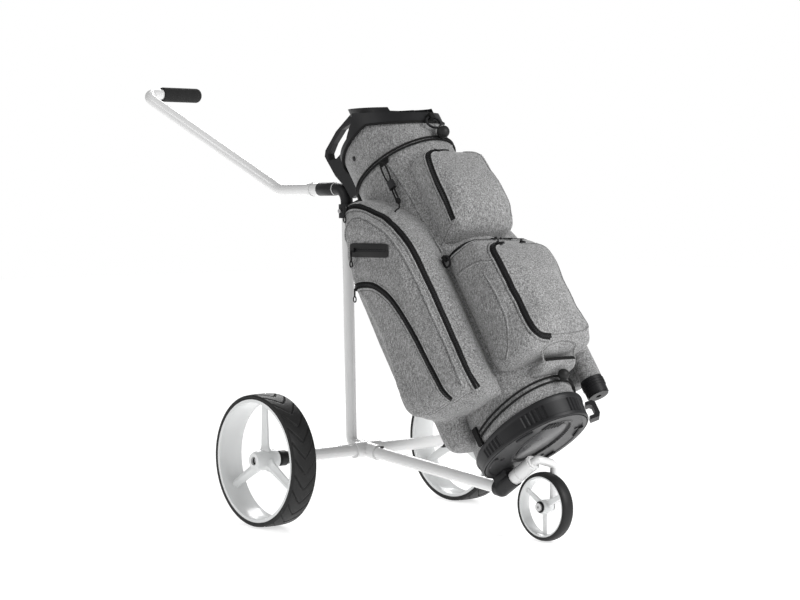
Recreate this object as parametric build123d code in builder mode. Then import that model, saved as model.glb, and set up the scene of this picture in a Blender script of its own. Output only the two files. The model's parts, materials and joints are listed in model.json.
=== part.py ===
from build123d import *
import math
import os

os.makedirs("parts", exist_ok=True)

# ------------------------------------------------------------------ frame of the part
# Millimetres. +X points forwards to the small wheel, +Y to the left, +Z up.
# The floor is z = 0, the middle plane is y = 0, and x = 0 is half of the overall length.
HANDLE_REACH = 742.0      # rear axle back to the rearmost point of the grip
FOOT_REACH = 434.0        # rear axle forwards to the heel of the bag's base
FOOT_Z = 120.0            # height of that heel
LEAN = 34.0               # the bag leans back this far from upright, degrees

# ------------------------------------------------------------------ wheels
REAR_R = 145.0
REAR_WIDTH = 63.0
TRACK_OUTER = 318.5       # outer face of a rear wheel from the middle plane
RIM_BORE_R = 128.0
RIM_WALL = 4.5
SPOKES = 3
SPOKE_ROOT = 26.0
SPOKE_TIP = 17.0
PIN_R = 6.0
FIT = 0.05                # radial running clearance
GAP = 0.4                 # clearance between pieces that don't bear on each other
FRONT_R = 72.0
FRONT_WIDTH = 28.0
FRONT_X = 554.0           # front wheel from the rear axle
FRONT_Y = 21.0            # it runs a little to the left of the middle plane
FRONT_BORE_R = 60.0

# ------------------------------------------------------------------ trolley tubes
TUBE_R = 14.0
UPRIGHT_R = 12.5
WALL = 1.6
UPRIGHT_X = -56.0         # from the rear axle
STUB_Z = 737.0            # height of the backward stub that carries the handle
SOCKET_END = -191.0       # the stub's open end, from the rear axle
SOCKET_R = 15.0
HANDLE_R = 13.0
HANDLE_KNEE = -314.0
ELBOW = (-724.0, -115.0, 981.0)
GRIP_R = 18.0
GRIP_FROM = -58.0
GRIP_TO = 57.0
CROOK_R = 18.5            # black sleeve under the bag's heel
CROOK_S = -23.0           # its axis, below the bag's base plane
FRONT_TUBE_R = 15.5
FRONT_TUBE_END = 112.0
ARM_R = 9.0

# ------------------------------------------------------------------ bag, in its own axes
# n runs forwards across the bag from its spine, y to the left, s up along the bag.
BASE_A, BASE_B = 138.0, 104.0     # half depth and half width of the base oval
BODY_A, BODY_B = 135.0, 106.0     # fabric body just above the boot
TOP_A, TOP_B = 123.0, 106.0       # fabric body under the cuff
BODY_S0, BODY_S1 = 16.0, 790.0
FABRIC = 3.0
WIDE = 200.0               # more than the bag's half width, for cuts right across it
BOOT_A, BOOT_B = 144.0, 112.0
BOOT_REAR_S, BOOT_FRONT_S = 22.0, 50.0
DECK_Z = 900.0            # level ledge round the mouth of the bag
LIP_Z = 912.0
MOUTH_R = 88.0
MOUTH_N = 162.0
MOUTH_WALL = 5.0
WELL_WALL = 3.0
WELL_PITCH = 40.0
WELL_FLOOR_S = 742.0
PANEL_Y = 188.0           # outer face of a side pocket from the middle plane
STRAP_S = 703.0
LOW_STRAP_S = 40.0
LOW_STRAP_SLOPE = 11.0    # degrees
HOLDER_N, HOLDER_Y, HOLDER_R = 240.0, 130.0, 24.0

CL, SL = math.cos(math.radians(LEAN)), math.sin(math.radians(LEAN))
BAG_REACH = FOOT_REACH + 2 * BASE_A * CL
AXLE_X = (HANDLE_REACH - BAG_REACH) / 2
REAR_MID = TRACK_OUTER - REAR_WIDTH / 2


def on_cart(x, y, z):
    """A point given from the rear axle's place on the floor."""
    return Vector(AXLE_X + x, y, z)


def on_bag(n, y, s):
    """A point given in the bag's own axes."""
    return on_cart(FOOT_REACH + n * CL - s * SL, y, FOOT_Z + n * SL + s * CL)


def level(z, n):
    """How far up the bag the level z is reached, at depth n."""
    return (z - FOOT_Z - n * SL) / CL


BAG = Plane(origin=on_bag(0, 0, 0), x_dir=(CL, 0, SL), z_dir=(-SL, 0, CL))
SIDE = Plane(origin=on_bag(0, 0, 0), x_dir=(CL, 0, SL), z_dir=(0, -1, 0))   # sketches hold n, s


def save(builder, name):
    builder.part.label = name
    export_step(builder.part, f"parts/{name}.step")


def body_a(s):
    t = (s - BODY_S0) / (BODY_S1 - BODY_S0)
    return BODY_A + (TOP_A - BODY_A) * t


def body_b(s):
    t = (s - BODY_S0) / (BODY_S1 - BODY_S0)
    return BODY_B + (TOP_B - BODY_B) * t


def oval(s, grow=0.0):
    """The fabric body's section at s, grown outwards."""
    with BuildSketch(BAG.offset(s)) as section:
        with Locations((body_a(s), 0)):
            Ellipse(body_a(s) + grow, body_b(s) + grow)
    return section.sketch


def trunk(s0, s1, grow=0.0):
    """The fabric body's solid form from s0 to s1, grown outwards."""
    with BuildPart() as form:
        loft(sections=[oval(s0, grow), oval(s1, grow)])
    return form.part


def side_face(points, plane=SIDE):
    with BuildSketch(plane) as face:
        with BuildLine():
            Polyline(*points, close=True)
        make_face()
    return face.sketch


def slab(points, y_from, y_to):
    """A side outline (n, s) as a slab between two distances to the right of the middle plane."""
    with BuildPart() as form:
        extrude(side_face(points, SIDE.offset(y_from)), amount=y_to - y_from)
    return form.part


def rod(start, end, radius, bore=0.0):
    axis = Vector(end) - Vector(start)
    with BuildPart() as form:
        with BuildSketch(Plane(origin=start, z_dir=axis)):
            Circle(radius)
            if bore:
                Circle(bore, mode=Mode.SUBTRACT)
        extrude(amount=axis.length)
    return form.part


def bent_tube(points, radii, radius, bore=0.0):
    with BuildPart() as form:
        with BuildLine() as path:
            FilletPolyline(*points, radius=radii)
        with BuildSketch(Plane(origin=path.line @ 0, z_dir=path.line % 0)):
            Circle(radius)
            if bore:
                Circle(bore, mode=Mode.SUBTRACT)
        sweep(path=path.line)
    return form.part


# ================================================================== rear axle and wheels
AXLE = on_cart(0, 0, REAR_R)
COLLAR_LEN = 20.0
COLLAR_OUT = REAR_MID - REAR_WIDTH / 2 - 4.0       # outer end of a release collar
COLLAR_TRAVEL = 5.0
AXLE_END = COLLAR_OUT - COLLAR_LEN - COLLAR_TRAVEL - 1.0
PIN_SHOULDER = REAR_MID - REAR_WIDTH / 2 + 2.0
PIN_BODY_R = 10.0
PIN_INNER = 180.0
JUNCTION_HALF = 36.0

with BuildPart() as rear_axle_tube:
    for side in (1, -1):
        inner = AXLE + Vector(0, side * JUNCTION_HALF, 0)
        add(rod(inner, AXLE + Vector(0, side * AXLE_END, 0), TUBE_R, PIN_BODY_R + FIT))
save(rear_axle_tube, "rear_axle_tube")

with BuildPart() as rear_axle_pins:
    for side in (1, -1):
        shoulder = AXLE + Vector(0, side * PIN_SHOULDER, 0)
        add(rod(AXLE + Vector(0, side * PIN_INNER, 0), shoulder, PIN_BODY_R))
        add(rod(shoulder, AXLE + Vector(0, side * (TRACK_OUTER - 6), 0), PIN_R))
save(rear_axle_pins, "rear_axle_pins")

HUB_R = 23.0
SPOKE_T = 12.0
RIM_SEAT = 2.05           # the tyre's bore over the rim's wall
TREAD_EDGE, TREAD_DROP = 7.0, 5.0      # sloping shoulders of the tread
COLLAR_R = 17.0
HUB_TIP_R = 17.0
BUSH_R = 9.0
BUSH_LEN = 14.0
HUB_IN = PIN_SHOULDER + 0.6
RIM_LIP = 3.0


def wheel(side, name):
    """One rear wheel: rim with three spokes, tyre and two bushes. side is +1 on the left."""
    across = Plane(origin=AXLE + Vector(0, side * REAR_MID, 0), z_dir=(0, side, 0), x_dir=(0, 0, 1))
    half = REAR_WIDTH / 2
    seat_r = RIM_BORE_R + RIM_WALL + RIM_SEAT
    with BuildPart() as rim:
        with BuildSketch(across.offset(-half + 1)):
            Circle(RIM_BORE_R + RIM_WALL)
            Circle(RIM_BORE_R, mode=Mode.SUBTRACT)
        extrude(amount=REAR_WIDTH - 2)
        for edge in (-half + 1, half - 1 - RIM_LIP):
            with BuildSketch(across.offset(edge)):
                Circle(RIM_BORE_R + RIM_WALL + 2)
                Circle(RIM_BORE_R, mode=Mode.SUBTRACT)
            extrude(amount=RIM_LIP)
        with BuildSketch(across.offset(-SPOKE_T / 2)):
            with PolarLocations(0, SPOKES):
                Polygon((HUB_R - 5, SPOKE_ROOT / 2), (RIM_BORE_R + 2, SPOKE_TIP / 2),
                        (RIM_BORE_R + 2, -SPOKE_TIP / 2), (HUB_R - 5, -SPOKE_ROOT / 2), align=None)
        extrude(amount=SPOKE_T)
        hub_in = HUB_IN - REAR_MID
        with BuildSketch(across.offset(hub_in)):
            Circle(HUB_R)
        with BuildSketch(across.offset(half)):
            Circle(HUB_TIP_R)
        loft()
        with BuildSketch(across.offset(hub_in)):
            Circle(BUSH_R + 0.03)
        extrude(amount=half - hub_in - 4, mode=Mode.SUBTRACT)
    save(rim, f"rear_rim_{name}")

    with BuildPart() as tyre:
        with BuildSketch(Plane(origin=across.origin, x_dir=(0, side, 0), z_dir=(-1, 0, 0))):
            with BuildLine():
                Polyline((-half, seat_r), (-half, REAR_R - TREAD_DROP), (-half + TREAD_EDGE, REAR_R))
                Line((-half + TREAD_EDGE, REAR_R), (half - TREAD_EDGE, REAR_R))
                Polyline((half - TREAD_EDGE, REAR_R), (half, REAR_R - TREAD_DROP), (half, seat_r), (-half, seat_r))
            make_face()
        revolve(axis=Axis(across.origin, (0, 1, 0)))
    save(tyre, f"rear_tyre_{name}")

    with BuildPart() as bushes:
        for start in (HUB_IN + 0.5, TRACK_OUTER - 5 - BUSH_LEN):
            add(rod(AXLE + Vector(0, side * start, 0), AXLE + Vector(0, side * (start + BUSH_LEN), 0),
                    BUSH_R, PIN_R + FIT))
    save(bushes, f"rear_bushes_{name}")

    with BuildPart() as collar:
        with BuildSketch(across.offset(COLLAR_OUT - COLLAR_LEN - REAR_MID)):
            Circle(COLLAR_R)
            Circle(PIN_BODY_R + FIT, mode=Mode.SUBTRACT)
        extrude(amount=COLLAR_LEN)
        chamfer(collar.edges().filter_by(GeomType.CIRCLE).group_by(SortBy.RADIUS)[-1], 2)
    save(collar, f"release_collar_{name}")


wheel(1, "left")
wheel(-1, "right")

# ================================================================== junction, main tube, upright
CROOK_X = FOOT_REACH + CROOK_S * -SL              # start of the sloping crook, from the axle
CROOK_Z = FOOT_Z + CROOK_S * CL
MAIN_START = on_cart(12, 0, REAR_R - 2)
MAIN_CORNER = on_cart(CROOK_X, 0, CROOK_Z)
MAIN_DIR = (MAIN_CORNER - MAIN_START).normalized()
MAIN_END = MAIN_CORNER - MAIN_DIR * 6
SOCKET_LEN = 30.0
JUNCTION_R = 18.5
BUTTON_AT = MAIN_START + MAIN_DIR * 44
BUTTON_R = 4.5
BUTTON_TRAVEL = 3.0
BUTTON_FOOT = 8.0         # the button's foot over the tube's middle line
BUTTON_PROUD = 3.4
LEAF_LENGTH, LEAF_WIDTH, LEAF_T = 32.0, 9.0, 1.2
PLUG_IN = 60.0            # depth of the main tube's seat in the junction

with BuildPart() as centre_junction:
    add(rod(AXLE - Vector(0, JUNCTION_HALF, 0), AXLE + Vector(0, JUNCTION_HALF, 0), JUNCTION_R))
    add(rod(AXLE, MAIN_START + MAIN_DIR * SOCKET_LEN, JUNCTION_R - 1))
    add(rod(AXLE, on_cart(-24, 0, REAR_R + 4.6), JUNCTION_R - 2))
    add(rod(MAIN_START + MAIN_DIR * 5, MAIN_START + MAIN_DIR * PLUG_IN, TUBE_R + 0.1), mode=Mode.SUBTRACT)
save(centre_junction, "centre_junction")

with BuildPart() as main_tube:
    add(rod(MAIN_START + MAIN_DIR * 5.5, MAIN_END, TUBE_R, TUBE_R - WALL))
    with BuildSketch(Plane(origin=BUTTON_AT, z_dir=(0, 0, 1))):
        Circle(BUTTON_R + FIT)
    extrude(amount=TUBE_R + 5, mode=Mode.SUBTRACT)
save(main_tube, "main_tube")

with BuildPart() as lock_button:
    with BuildSketch(Plane(origin=BUTTON_AT + Vector(0, 0, BUTTON_FOOT), z_dir=(0, 0, 1))):
        Circle(BUTTON_R)
    extrude(amount=TUBE_R - BUTTON_FOOT + BUTTON_PROUD)
    fillet(lock_button.edges().sort_by(Axis.Z)[-1], 1.5)
save(lock_button, "lock_button")

with BuildPart() as button_leaf:
    with BuildSketch(Plane(origin=BUTTON_AT + Vector(0, 0, BUTTON_FOOT - LEAF_T), z_dir=(0, 0, 1))):
        with Locations((-9, 0)):
            Rectangle(LEAF_LENGTH, LEAF_WIDTH)
    extrude(amount=LEAF_T)
save(button_leaf, "button_leaf")

STUB_BEND_R = 34.0
UPRIGHT_PATH = [
    on_cart(-26, 0, REAR_R + 5),
    on_cart(UPRIGHT_X + 4, 0, REAR_R + 7),
    on_cart(UPRIGHT_X - 7, 0, STUB_Z),
    on_cart(SOCKET_END + 50, 0, STUB_Z),
]
with BuildPart() as upright_tube:
    add(bent_tube(UPRIGHT_PATH, [20, STUB_BEND_R], UPRIGHT_R, UPRIGHT_R - WALL))
save(upright_tube, "upright_tube")

PLUG_R = 11.0
with BuildPart() as handle_socket:
    mouth = on_cart(SOCKET_END, 0, STUB_Z)
    add(rod(on_cart(SOCKET_END + 90, 0, STUB_Z), mouth, SOCKET_R, UPRIGHT_R + FIT))
    add(rod(on_cart(SOCKET_END + 46, 0, STUB_Z), mouth, UPRIGHT_R + 1, PLUG_R + FIT))
    add(rod(on_cart(SOCKET_END + 6, 0, STUB_Z), mouth, SOCKET_R + 1.2, PLUG_R + FIT))
save(handle_socket, "handle_socket")

# ================================================================== handle
HANDLE_START = on_cart(SOCKET_END - 0.6, 0, STUB_Z)
HANDLE_PATH = [
    HANDLE_START,
    on_cart(HANDLE_KNEE, 0, STUB_Z),
    on_cart(*ELBOW),
    on_cart(ELBOW[0], GRIP_TO - 6, ELBOW[2]),
]
with BuildPart() as handle_tube:
    add(bent_tube(HANDLE_PATH, [70, 32], HANDLE_R, HANDLE_R - WALL))
    add(rod(HANDLE_START, on_cart(SOCKET_END - 9, 0, STUB_Z), SOCKET_R, HANDLE_R - 0.5))
save(handle_tube, "handle_tube")

with BuildPart() as handle_plug:
    add(rod(on_cart(SOCKET_END + 40, 0, STUB_Z), on_cart(SOCKET_END - 24, 0, STUB_Z), PLUG_R, 4))
save(handle_plug, "handle_plug")

with BuildPart() as handle_grip:
    at_grip = Plane(origin=on_cart(ELBOW[0], GRIP_FROM, ELBOW[2]), z_dir=(0, 1, 0))
    with BuildSketch(at_grip):
        Circle(GRIP_R)
    extrude(amount=GRIP_TO - GRIP_FROM)
    fillet(handle_grip.edges().sort_by(Axis.Y)[-1], 12)
    fillet(handle_grip.edges().sort_by(Axis.Y)[0], 3)
    with BuildSketch(at_grip):
        Circle(HANDLE_R + FIT)
    extrude(amount=GRIP_TO - GRIP_FROM - 5, mode=Mode.SUBTRACT)
save(handle_grip, "handle_grip")

# ================================================================== crook, front tube and arm
SADDLE_HALF = 16.0        # half width of the flat pad that the bag's heel stands on
with BuildPart() as crook_sleeve:
    add(rod(MAIN_CORNER, on_bag(46, 0, CROOK_S), CROOK_R))
    add(rod(MAIN_CORNER, MAIN_CORNER - MAIN_DIR * 13, CROOK_R - 0.5))
    with Locations(MAIN_CORNER):
        Sphere(CROOK_R)
    add(slab([(2, CROOK_S), (44, CROOK_S), (44, -GAP), (2, -GAP)], -SADDLE_HALF, SADDLE_HALF))
    add(rod(on_bag(20, 0, CROOK_S), on_bag(60, 0, CROOK_S), FRONT_TUBE_R + FIT), mode=Mode.SUBTRACT)
    add(rod(MAIN_CORNER - MAIN_DIR * 5, MAIN_CORNER - MAIN_DIR * 40, TUBE_R + FIT), mode=Mode.SUBTRACT)
save(crook_sleeve, "crook_sleeve")

with BuildPart() as front_tube:
    add(rod(on_bag(21, 0, CROOK_S), on_bag(FRONT_TUBE_END, 0, CROOK_S), FRONT_TUBE_R, FRONT_TUBE_R - 2))
    for collar in (62, FRONT_TUBE_END - 5):
        ring_from, ring_to = on_bag(collar, 0, CROOK_S), on_bag(collar + 5, 0, CROOK_S)
        add(rod(ring_from, ring_to, FRONT_TUBE_R + 0.8, FRONT_TUBE_R - 1))
save(front_tube, "front_tube")

WHEEL_C = on_cart(FRONT_X, FRONT_Y, FRONT_R)
ARM_Y = FRONT_Y + FRONT_WIDTH / 2 + ARM_R + 2.5
with BuildPart() as front_arm:
    add(rod(on_bag(80, 0, CROOK_S), on_bag(FRONT_TUBE_END + 3, 0, CROOK_S), FRONT_TUBE_R - 2.05))
    add(bent_tube([
        on_bag(FRONT_TUBE_END + 1, 0, CROOK_S),
        on_cart(FRONT_X - 3, 3, 171),
        on_cart(FRONT_X + 2, ARM_Y, 158),
        on_cart(FRONT_X, ARM_Y, FRONT_R - 6),
    ], [9, 16], ARM_R))
    add(rod(WHEEL_C + Vector(0, FRONT_WIDTH / 2 + 3, 0), WHEEL_C + Vector(0, ARM_Y - FRONT_Y + 10, 0), 12))
    add(rod(WHEEL_C, WHEEL_C + Vector(0, 60, 0), 5 + FIT), mode=Mode.SUBTRACT)
save(front_arm, "front_arm")

with BuildPart() as front_axle_bolt:
    add(rod(WHEEL_C - Vector(0, FRONT_WIDTH / 2 + 2.5, 0), WHEEL_C + Vector(0, ARM_Y - FRONT_Y + 12, 0), 5))
    head = WHEEL_C - Vector(0, FRONT_WIDTH / 2 + 2.5, 0)
    add(rod(head - Vector(0, 4, 0), head, 8.5))
    with BuildSketch(Plane(origin=WHEEL_C - Vector(0, FRONT_WIDTH / 2 + 6.5, 0), z_dir=(0, -1, 0))):
        RegularPolygon(3.2, 6)
    extrude(amount=-2.5, mode=Mode.SUBTRACT)
save(front_axle_bolt, "front_axle_bolt")

FRONT_HALF = FRONT_WIDTH / 2
FRONT_SEAT_R = FRONT_BORE_R + 3.05
with BuildPart() as front_rim:
    face = Plane(origin=WHEEL_C, z_dir=(0, 1, 0), x_dir=(0, 0, 1))
    with BuildSketch(face.offset(-FRONT_HALF + 1)):
        Circle(FRONT_BORE_R + 3)
        Circle(FRONT_BORE_R, mode=Mode.SUBTRACT)
    extrude(amount=FRONT_WIDTH - 2)
    with BuildSketch(face.offset(-4)):
        with PolarLocations(0, SPOKES, start_angle=60):
            Polygon((10, 8), (FRONT_BORE_R + 1, 5), (FRONT_BORE_R + 1, -5), (10, -8), align=None)
    extrude(amount=8)
    with BuildSketch(face.offset(-FRONT_HALF)):
        Circle(14)
    extrude(amount=FRONT_WIDTH)
    with BuildSketch(face.offset(-FRONT_HALF)):
        Circle(8.03)
    extrude(amount=FRONT_WIDTH, mode=Mode.SUBTRACT)
save(front_rim, "front_rim")

with BuildPart() as front_tyre:
    with BuildSketch(Plane(origin=WHEEL_C, x_dir=(0, 1, 0), z_dir=(-1, 0, 0))):
        with BuildLine():
            Polyline((-FRONT_HALF, FRONT_R - 4), (-FRONT_HALF, FRONT_SEAT_R),
                     (FRONT_HALF, FRONT_SEAT_R), (FRONT_HALF, FRONT_R - 4))
            ThreePointArc((FRONT_HALF, FRONT_R - 4), (0, FRONT_R), (-FRONT_HALF, FRONT_R - 4))
        make_face()
    revolve(axis=Axis(WHEEL_C, (0, 1, 0)))
save(front_tyre, "front_tyre")

with BuildPart() as front_bushes:
    for side in (1, -1):
        hub_face = WHEEL_C + Vector(0, side * FRONT_HALF, 0)
        add(rod(WHEEL_C + Vector(0, side * 3, 0), hub_face, 8, 5 + FIT))
        add(rod(hub_face, hub_face + Vector(0, side * 1.5, 0), 12, 5 + FIT))
save(front_bushes, "front_bushes")

# ================================================================== bag body, boot and base
LOW_EDGE = [(-40, 777), (170, 794), (290, 724)]     # lower edge of the cuff, as n, s
CUFF_GROW = 5.0
OVERLAP = 6.0

with BuildPart() as bag_body:
    add(trunk(BODY_S0, BODY_S1 + 20))
    add(trunk(BODY_S0 - 10, BODY_S1 + 40, -FABRIC), mode=Mode.SUBTRACT)
    keep = [(-40, 0), (290, 0)] + [(n, s + OVERLAP) for n, s in reversed(LOW_EDGE)]
    add(slab(keep, -WIDE, WIDE), mode=Mode.INTERSECT)
save(bag_body, "bag_body")

BOOT_TOP = 60.0            # level at which the boot reaches its full size
BOOT_INSET = 9.0          # width of the boot's foot round the base plate
BASE_LEVEL, BASE_T = 1.5, 5.0
RIB_STEP = 6              # degrees between the boot's grooves

with BuildPart() as boot:
    with BuildSketch(BAG):
        with Locations((BASE_A, 0)):
            Ellipse(BASE_A, BASE_B)
    with BuildSketch(BAG.offset(BOOT_TOP)):
        with Locations((body_a(BOOT_TOP / 2), 0)):
            Ellipse(BOOT_A, BOOT_B)
    loft()
    with BuildSketch(BAG.offset(-1)):
        with Locations((BASE_A, 0)):
            Ellipse(BASE_A - BOOT_INSET, BASE_B - BOOT_INSET)
    extrude(amount=8, mode=Mode.SUBTRACT)
    add(trunk(BODY_S0, 80, GAP), mode=Mode.SUBTRACT)
    top_cut = [(-30, BOOT_REAR_S), (310, BOOT_FRONT_S), (310, 90), (-30, 90)]
    add(slab(top_cut, -WIDE, WIDE), mode=Mode.SUBTRACT)
    for k in range(360 // RIB_STEP):
        if k % 10 < 4:
            turn = math.radians(RIB_STEP * k + 3)
            s_top = BOOT_REAR_S + (BOOT_FRONT_S - BOOT_REAR_S) * (0.5 + 0.5 * math.cos(turn)) - 7
            foot = on_bag(BASE_A + (BOOT_A - 2) * math.cos(turn), (BOOT_B - 3) * math.sin(turn), 5)
            with Locations(Plane(origin=foot, x_dir=BAG.x_dir, z_dir=BAG.z_dir)):
                Cylinder(2.6, s_top - 5, align=(Align.CENTER, Align.CENTER, Align.MIN), mode=Mode.SUBTRACT)
save(boot, "boot")

with BuildPart() as base_plate:
    with BuildSketch(BAG.offset(BASE_LEVEL)):
        with Locations((BASE_A, 0)):
            Ellipse(BASE_A - BOOT_INSET - 0.5, BASE_B - BOOT_INSET - 0.5)
    extrude(amount=BASE_T)
    with BuildSketch(BAG.offset(BASE_LEVEL)):
        with Locations((BASE_A + 12, 0)):
            Ellipse(72, 50)
    extrude(amount=1.5, mode=Mode.SUBTRACT)
    for edge in (1, -1):
        with BuildSketch(BAG.offset(BASE_LEVEL)):
            with Locations(*[(BASE_A + 62 + 9 * k, edge * (62 - 5 * k)) for k in range(5)]):
                SlotOverall(26, 4, rotation=90)
        extrude(amount=BASE_T, mode=Mode.SUBTRACT)
save(base_plate, "base_plate")

FOOT_N, FOOT_Y, FOOT_R, FOOT_DROP = 76.0, 46.0, 13.0, 3.5      # four rubber feet, from the base's middle
with BuildPart() as base_feet:
    for n in (BASE_A - FOOT_N, BASE_A + FOOT_N):
        for y in (-FOOT_Y, FOOT_Y):
            add(rod(on_bag(n, y, -FOOT_DROP), on_bag(n, y, BASE_LEVEL - 0.05), FOOT_R))
save(base_feet, "base_feet")

# ================================================================== cuff, mouth, wells and grab handle
DECK_T = 7.0
WELL_HEIGHT = 220.0        # more than the mouth's height, before it is cut level
RIM_EDGE = [(290, level(DECK_Z, 290)), (150, level(DECK_Z, 150)), (138, 822), (104, 803), (-40, 798)]


def below(edge, drop):
    """The side outline under an edge that runs from the front to the back."""
    return [(n, s - drop) for n, s in edge] + [(-40, 600), (290, 600)]


def above_level(z):
    """Everything over the bag that is higher than the level z."""
    outline = [(290, level(z, 290)), (-40, level(z, -40)), (-40, 1100), (290, 1100)]
    return slab(outline, -WIDE, WIDE)


def cuff_hollow():
    """The room inside the cuff for the fabric body, under the deck."""
    with BuildPart() as form:
        add(trunk(690, 870, GAP))
        add(slab(below(RIM_EDGE, DECK_T), -WIDE, WIDE), mode=Mode.INTERSECT)
    return form.part


def mouth_barrel():
    """The round barrel that holds the club wells, cut level at the lip."""
    with BuildPart() as form:
        with BuildSketch(BAG.offset(WELL_FLOOR_S)):
            with Locations((MOUTH_N, 0)):
                Circle(MOUTH_R)
        extrude(amount=WELL_HEIGHT)
        add(above_level(LIP_Z), mode=Mode.SUBTRACT)
        add(trunk(700, 1000, -FABRIC - 1.2), mode=Mode.INTERSECT)
    return form.part


with BuildPart() as top_cuff:
    add(trunk(700, 860, CUFF_GROW))
    add(slab(below(RIM_EDGE, 0), -WIDE, WIDE), mode=Mode.INTERSECT)
    add(slab([(-40, 600), (290, 600)] + LOW_EDGE[::-1], -WIDE, WIDE), mode=Mode.SUBTRACT)
    add(cuff_hollow(), mode=Mode.SUBTRACT)
    add(mouth_barrel())
    with BuildSketch(BAG.offset(700)):
        with Locations((MOUTH_N, 0)):
            Circle(MOUTH_R - MOUTH_WALL)
    extrude(amount=260, mode=Mode.SUBTRACT)
save(top_cuff, "top_cuff")

WELL_R = MOUTH_R - MOUTH_WALL - GAP
ROW_WALLS = [-WELL_PITCH, 0.0, WELL_PITCH]      # walls across the bag, from the mouth's middle
OUTER_WALLS = [-WELL_PITCH / 2, WELL_PITCH / 2]
INNER_WALLS = [-WELL_PITCH, 0.0, WELL_PITCH]
COLUMN_WALLS = [
    (-WELL_PITCH * 1.5, OUTER_WALLS),
    (-WELL_PITCH * 0.5, INNER_WALLS),
    (WELL_PITCH * 0.5, INNER_WALLS),
    (WELL_PITCH * 1.5, OUTER_WALLS),
]
WELL_TOP_DROP = 7.0


def well_bar(n, y, length_n, length_y):
    """One flat wall of the club wells, cut level just under the lip and round to the mouth."""
    with BuildPart() as bar:
        with BuildSketch(BAG.offset(WELL_FLOOR_S)):
            with Locations((MOUTH_N + n, y)):
                Rectangle(length_n, length_y)
        extrude(amount=WELL_HEIGHT)
        with BuildSketch(BAG.offset(WELL_FLOOR_S)):
            with Locations((MOUTH_N, 0)):
                Circle(WELL_R)
        extrude(amount=WELL_HEIGHT, mode=Mode.INTERSECT)
        add(above_level(LIP_Z - WELL_TOP_DROP), mode=Mode.SUBTRACT)
    return bar.part


with BuildPart() as club_dividers:
    for n in ROW_WALLS:
        add(well_bar(n, 0, WELL_WALL, 2 * WELL_R))
    for n, columns in COLUMN_WALLS:
        for y in columns:
            add(well_bar(n, y, WELL_PITCH - WELL_WALL, WELL_WALL))
save(club_dividers, "club_dividers")

HANDLE_HALF = 10.0
GRAB_OUTER = [(74, 899), (50, 915), (-16, 914), (-72, 901), (-83, 890), (-82, 877), (-77, 832), (-63, 792), (-60, 758)]
GRAB_ROOT = [(-8, 744), (-8, 801), (76, 805)]      # down the spine and over the cuff
GRAB_HOLE = [(53, 878), (50, 893), (3, 905), (-40, 897), (-66, 886), (-70, 874), (-50, 862), (-14, 862), (23, 866)]
with BuildPart() as grab_handle:
    add(slab(GRAB_OUTER + GRAB_ROOT, -HANDLE_HALF, HANDLE_HALF))
    add(slab(GRAB_HOLE, -HANDLE_HALF, HANDLE_HALF), mode=Mode.SUBTRACT)
    chamfer(grab_handle.faces().filter_by(Plane.XZ).edges(), 2.5)
    with BuildSketch(BAG.offset(WELL_FLOOR_S)):
        with Locations((MOUTH_N, 0)):
            Circle(MOUTH_R + 0.2)
    extrude(amount=WELL_HEIGHT, mode=Mode.SUBTRACT)
save(grab_handle, "grab_handle")

# ================================================================== side pockets
POCKET_OUTER = [(8, 150), (8, 500), (22, 580), (60, 656), (118, 640), (178, 565),
                (206, 500), (220, 430), (222, 90), (70, 108)]
POCKET_PANEL = [(14, 158), (12, 480), (34, 556), (70, 600), (118, 606), (166, 550),
                (192, 492), (206, 425), (208, 104), (80, 122)]
LOWER_GUSSET = [(6, 150), (6, 74), (22, 46), (88, 36), (88, 120), (40, 150)]
ZIP_LOWER = [(18, 470), (86, 437), (113, 400), (128, 354), (140, 233), (148, 120)]
ZIP_WIDTH = 9.0
ZIP_T = 1.8
STEP_Y = 164.0


def strip(points, width, plane, thickness, radius=20.0):
    """A flat tape laid along a bent line, standing out of its plane."""
    with BuildPart() as tape:
        with BuildSketch(plane):
            with BuildLine() as centre:
                FilletPolyline(*points, radius=radius)
            trace(centre.line, line_width=width)
        extrude(amount=thickness)
    return tape.part


VALLEY = [(200, -50), (200, -92), (224, -PANEL_Y - 20), (320, -PANEL_Y - 20), (320, -50)]    # n, y


def side_pocket(front_limit):
    """The right-hand side pocket: a deep base layer, a raised panel and the gusset under it."""
    with BuildPart() as pocket:
        add(slab(POCKET_OUTER, 40, STEP_Y))
        add(slab(POCKET_PANEL, STEP_Y, PANEL_Y))
        add(slab(LOWER_GUSSET, 60, 132))
        add(trunk(0, 800, GAP), mode=Mode.SUBTRACT)
        add(slab([(front_limit, 0), (400, 0), (400, 800), (front_limit, 800)], 0, 250), mode=Mode.SUBTRACT)
        extrude(side_face(VALLEY, BAG), amount=800, mode=Mode.SUBTRACT)
    return pocket.part


with BuildPart() as side_pocket_right:
    add(side_pocket(300))
save(side_pocket_right, "side_pocket_right")

with BuildPart() as side_pocket_left:
    mirror(side_pocket(213), about=Plane.XZ)
save(side_pocket_left, "side_pocket_left")

ZIP_UPPER = [(66, 640), (118, 622), (172, 556), (199, 495), (213, 428), (215, 112)]
PANEL_CORNER = [(26, 588), (64, 612), (124, 612), (60, 548)]      # the upper zip stops short of the panel here
with BuildPart() as side_zip_tapes:
    upper = strip(ZIP_UPPER, ZIP_WIDTH - 1, SIDE.offset(STEP_Y), ZIP_T + 3, 14)
    lower = strip(ZIP_LOWER, ZIP_WIDTH, SIDE.offset(PANEL_Y), ZIP_T)
    add(upper)
    add(lower)
    add(slab(PANEL_CORNER, STEP_Y, PANEL_Y + 10), mode=Mode.SUBTRACT)
    mirror(lower, about=Plane.XZ)
save(side_zip_tapes, "side_zip_tapes")

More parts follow.
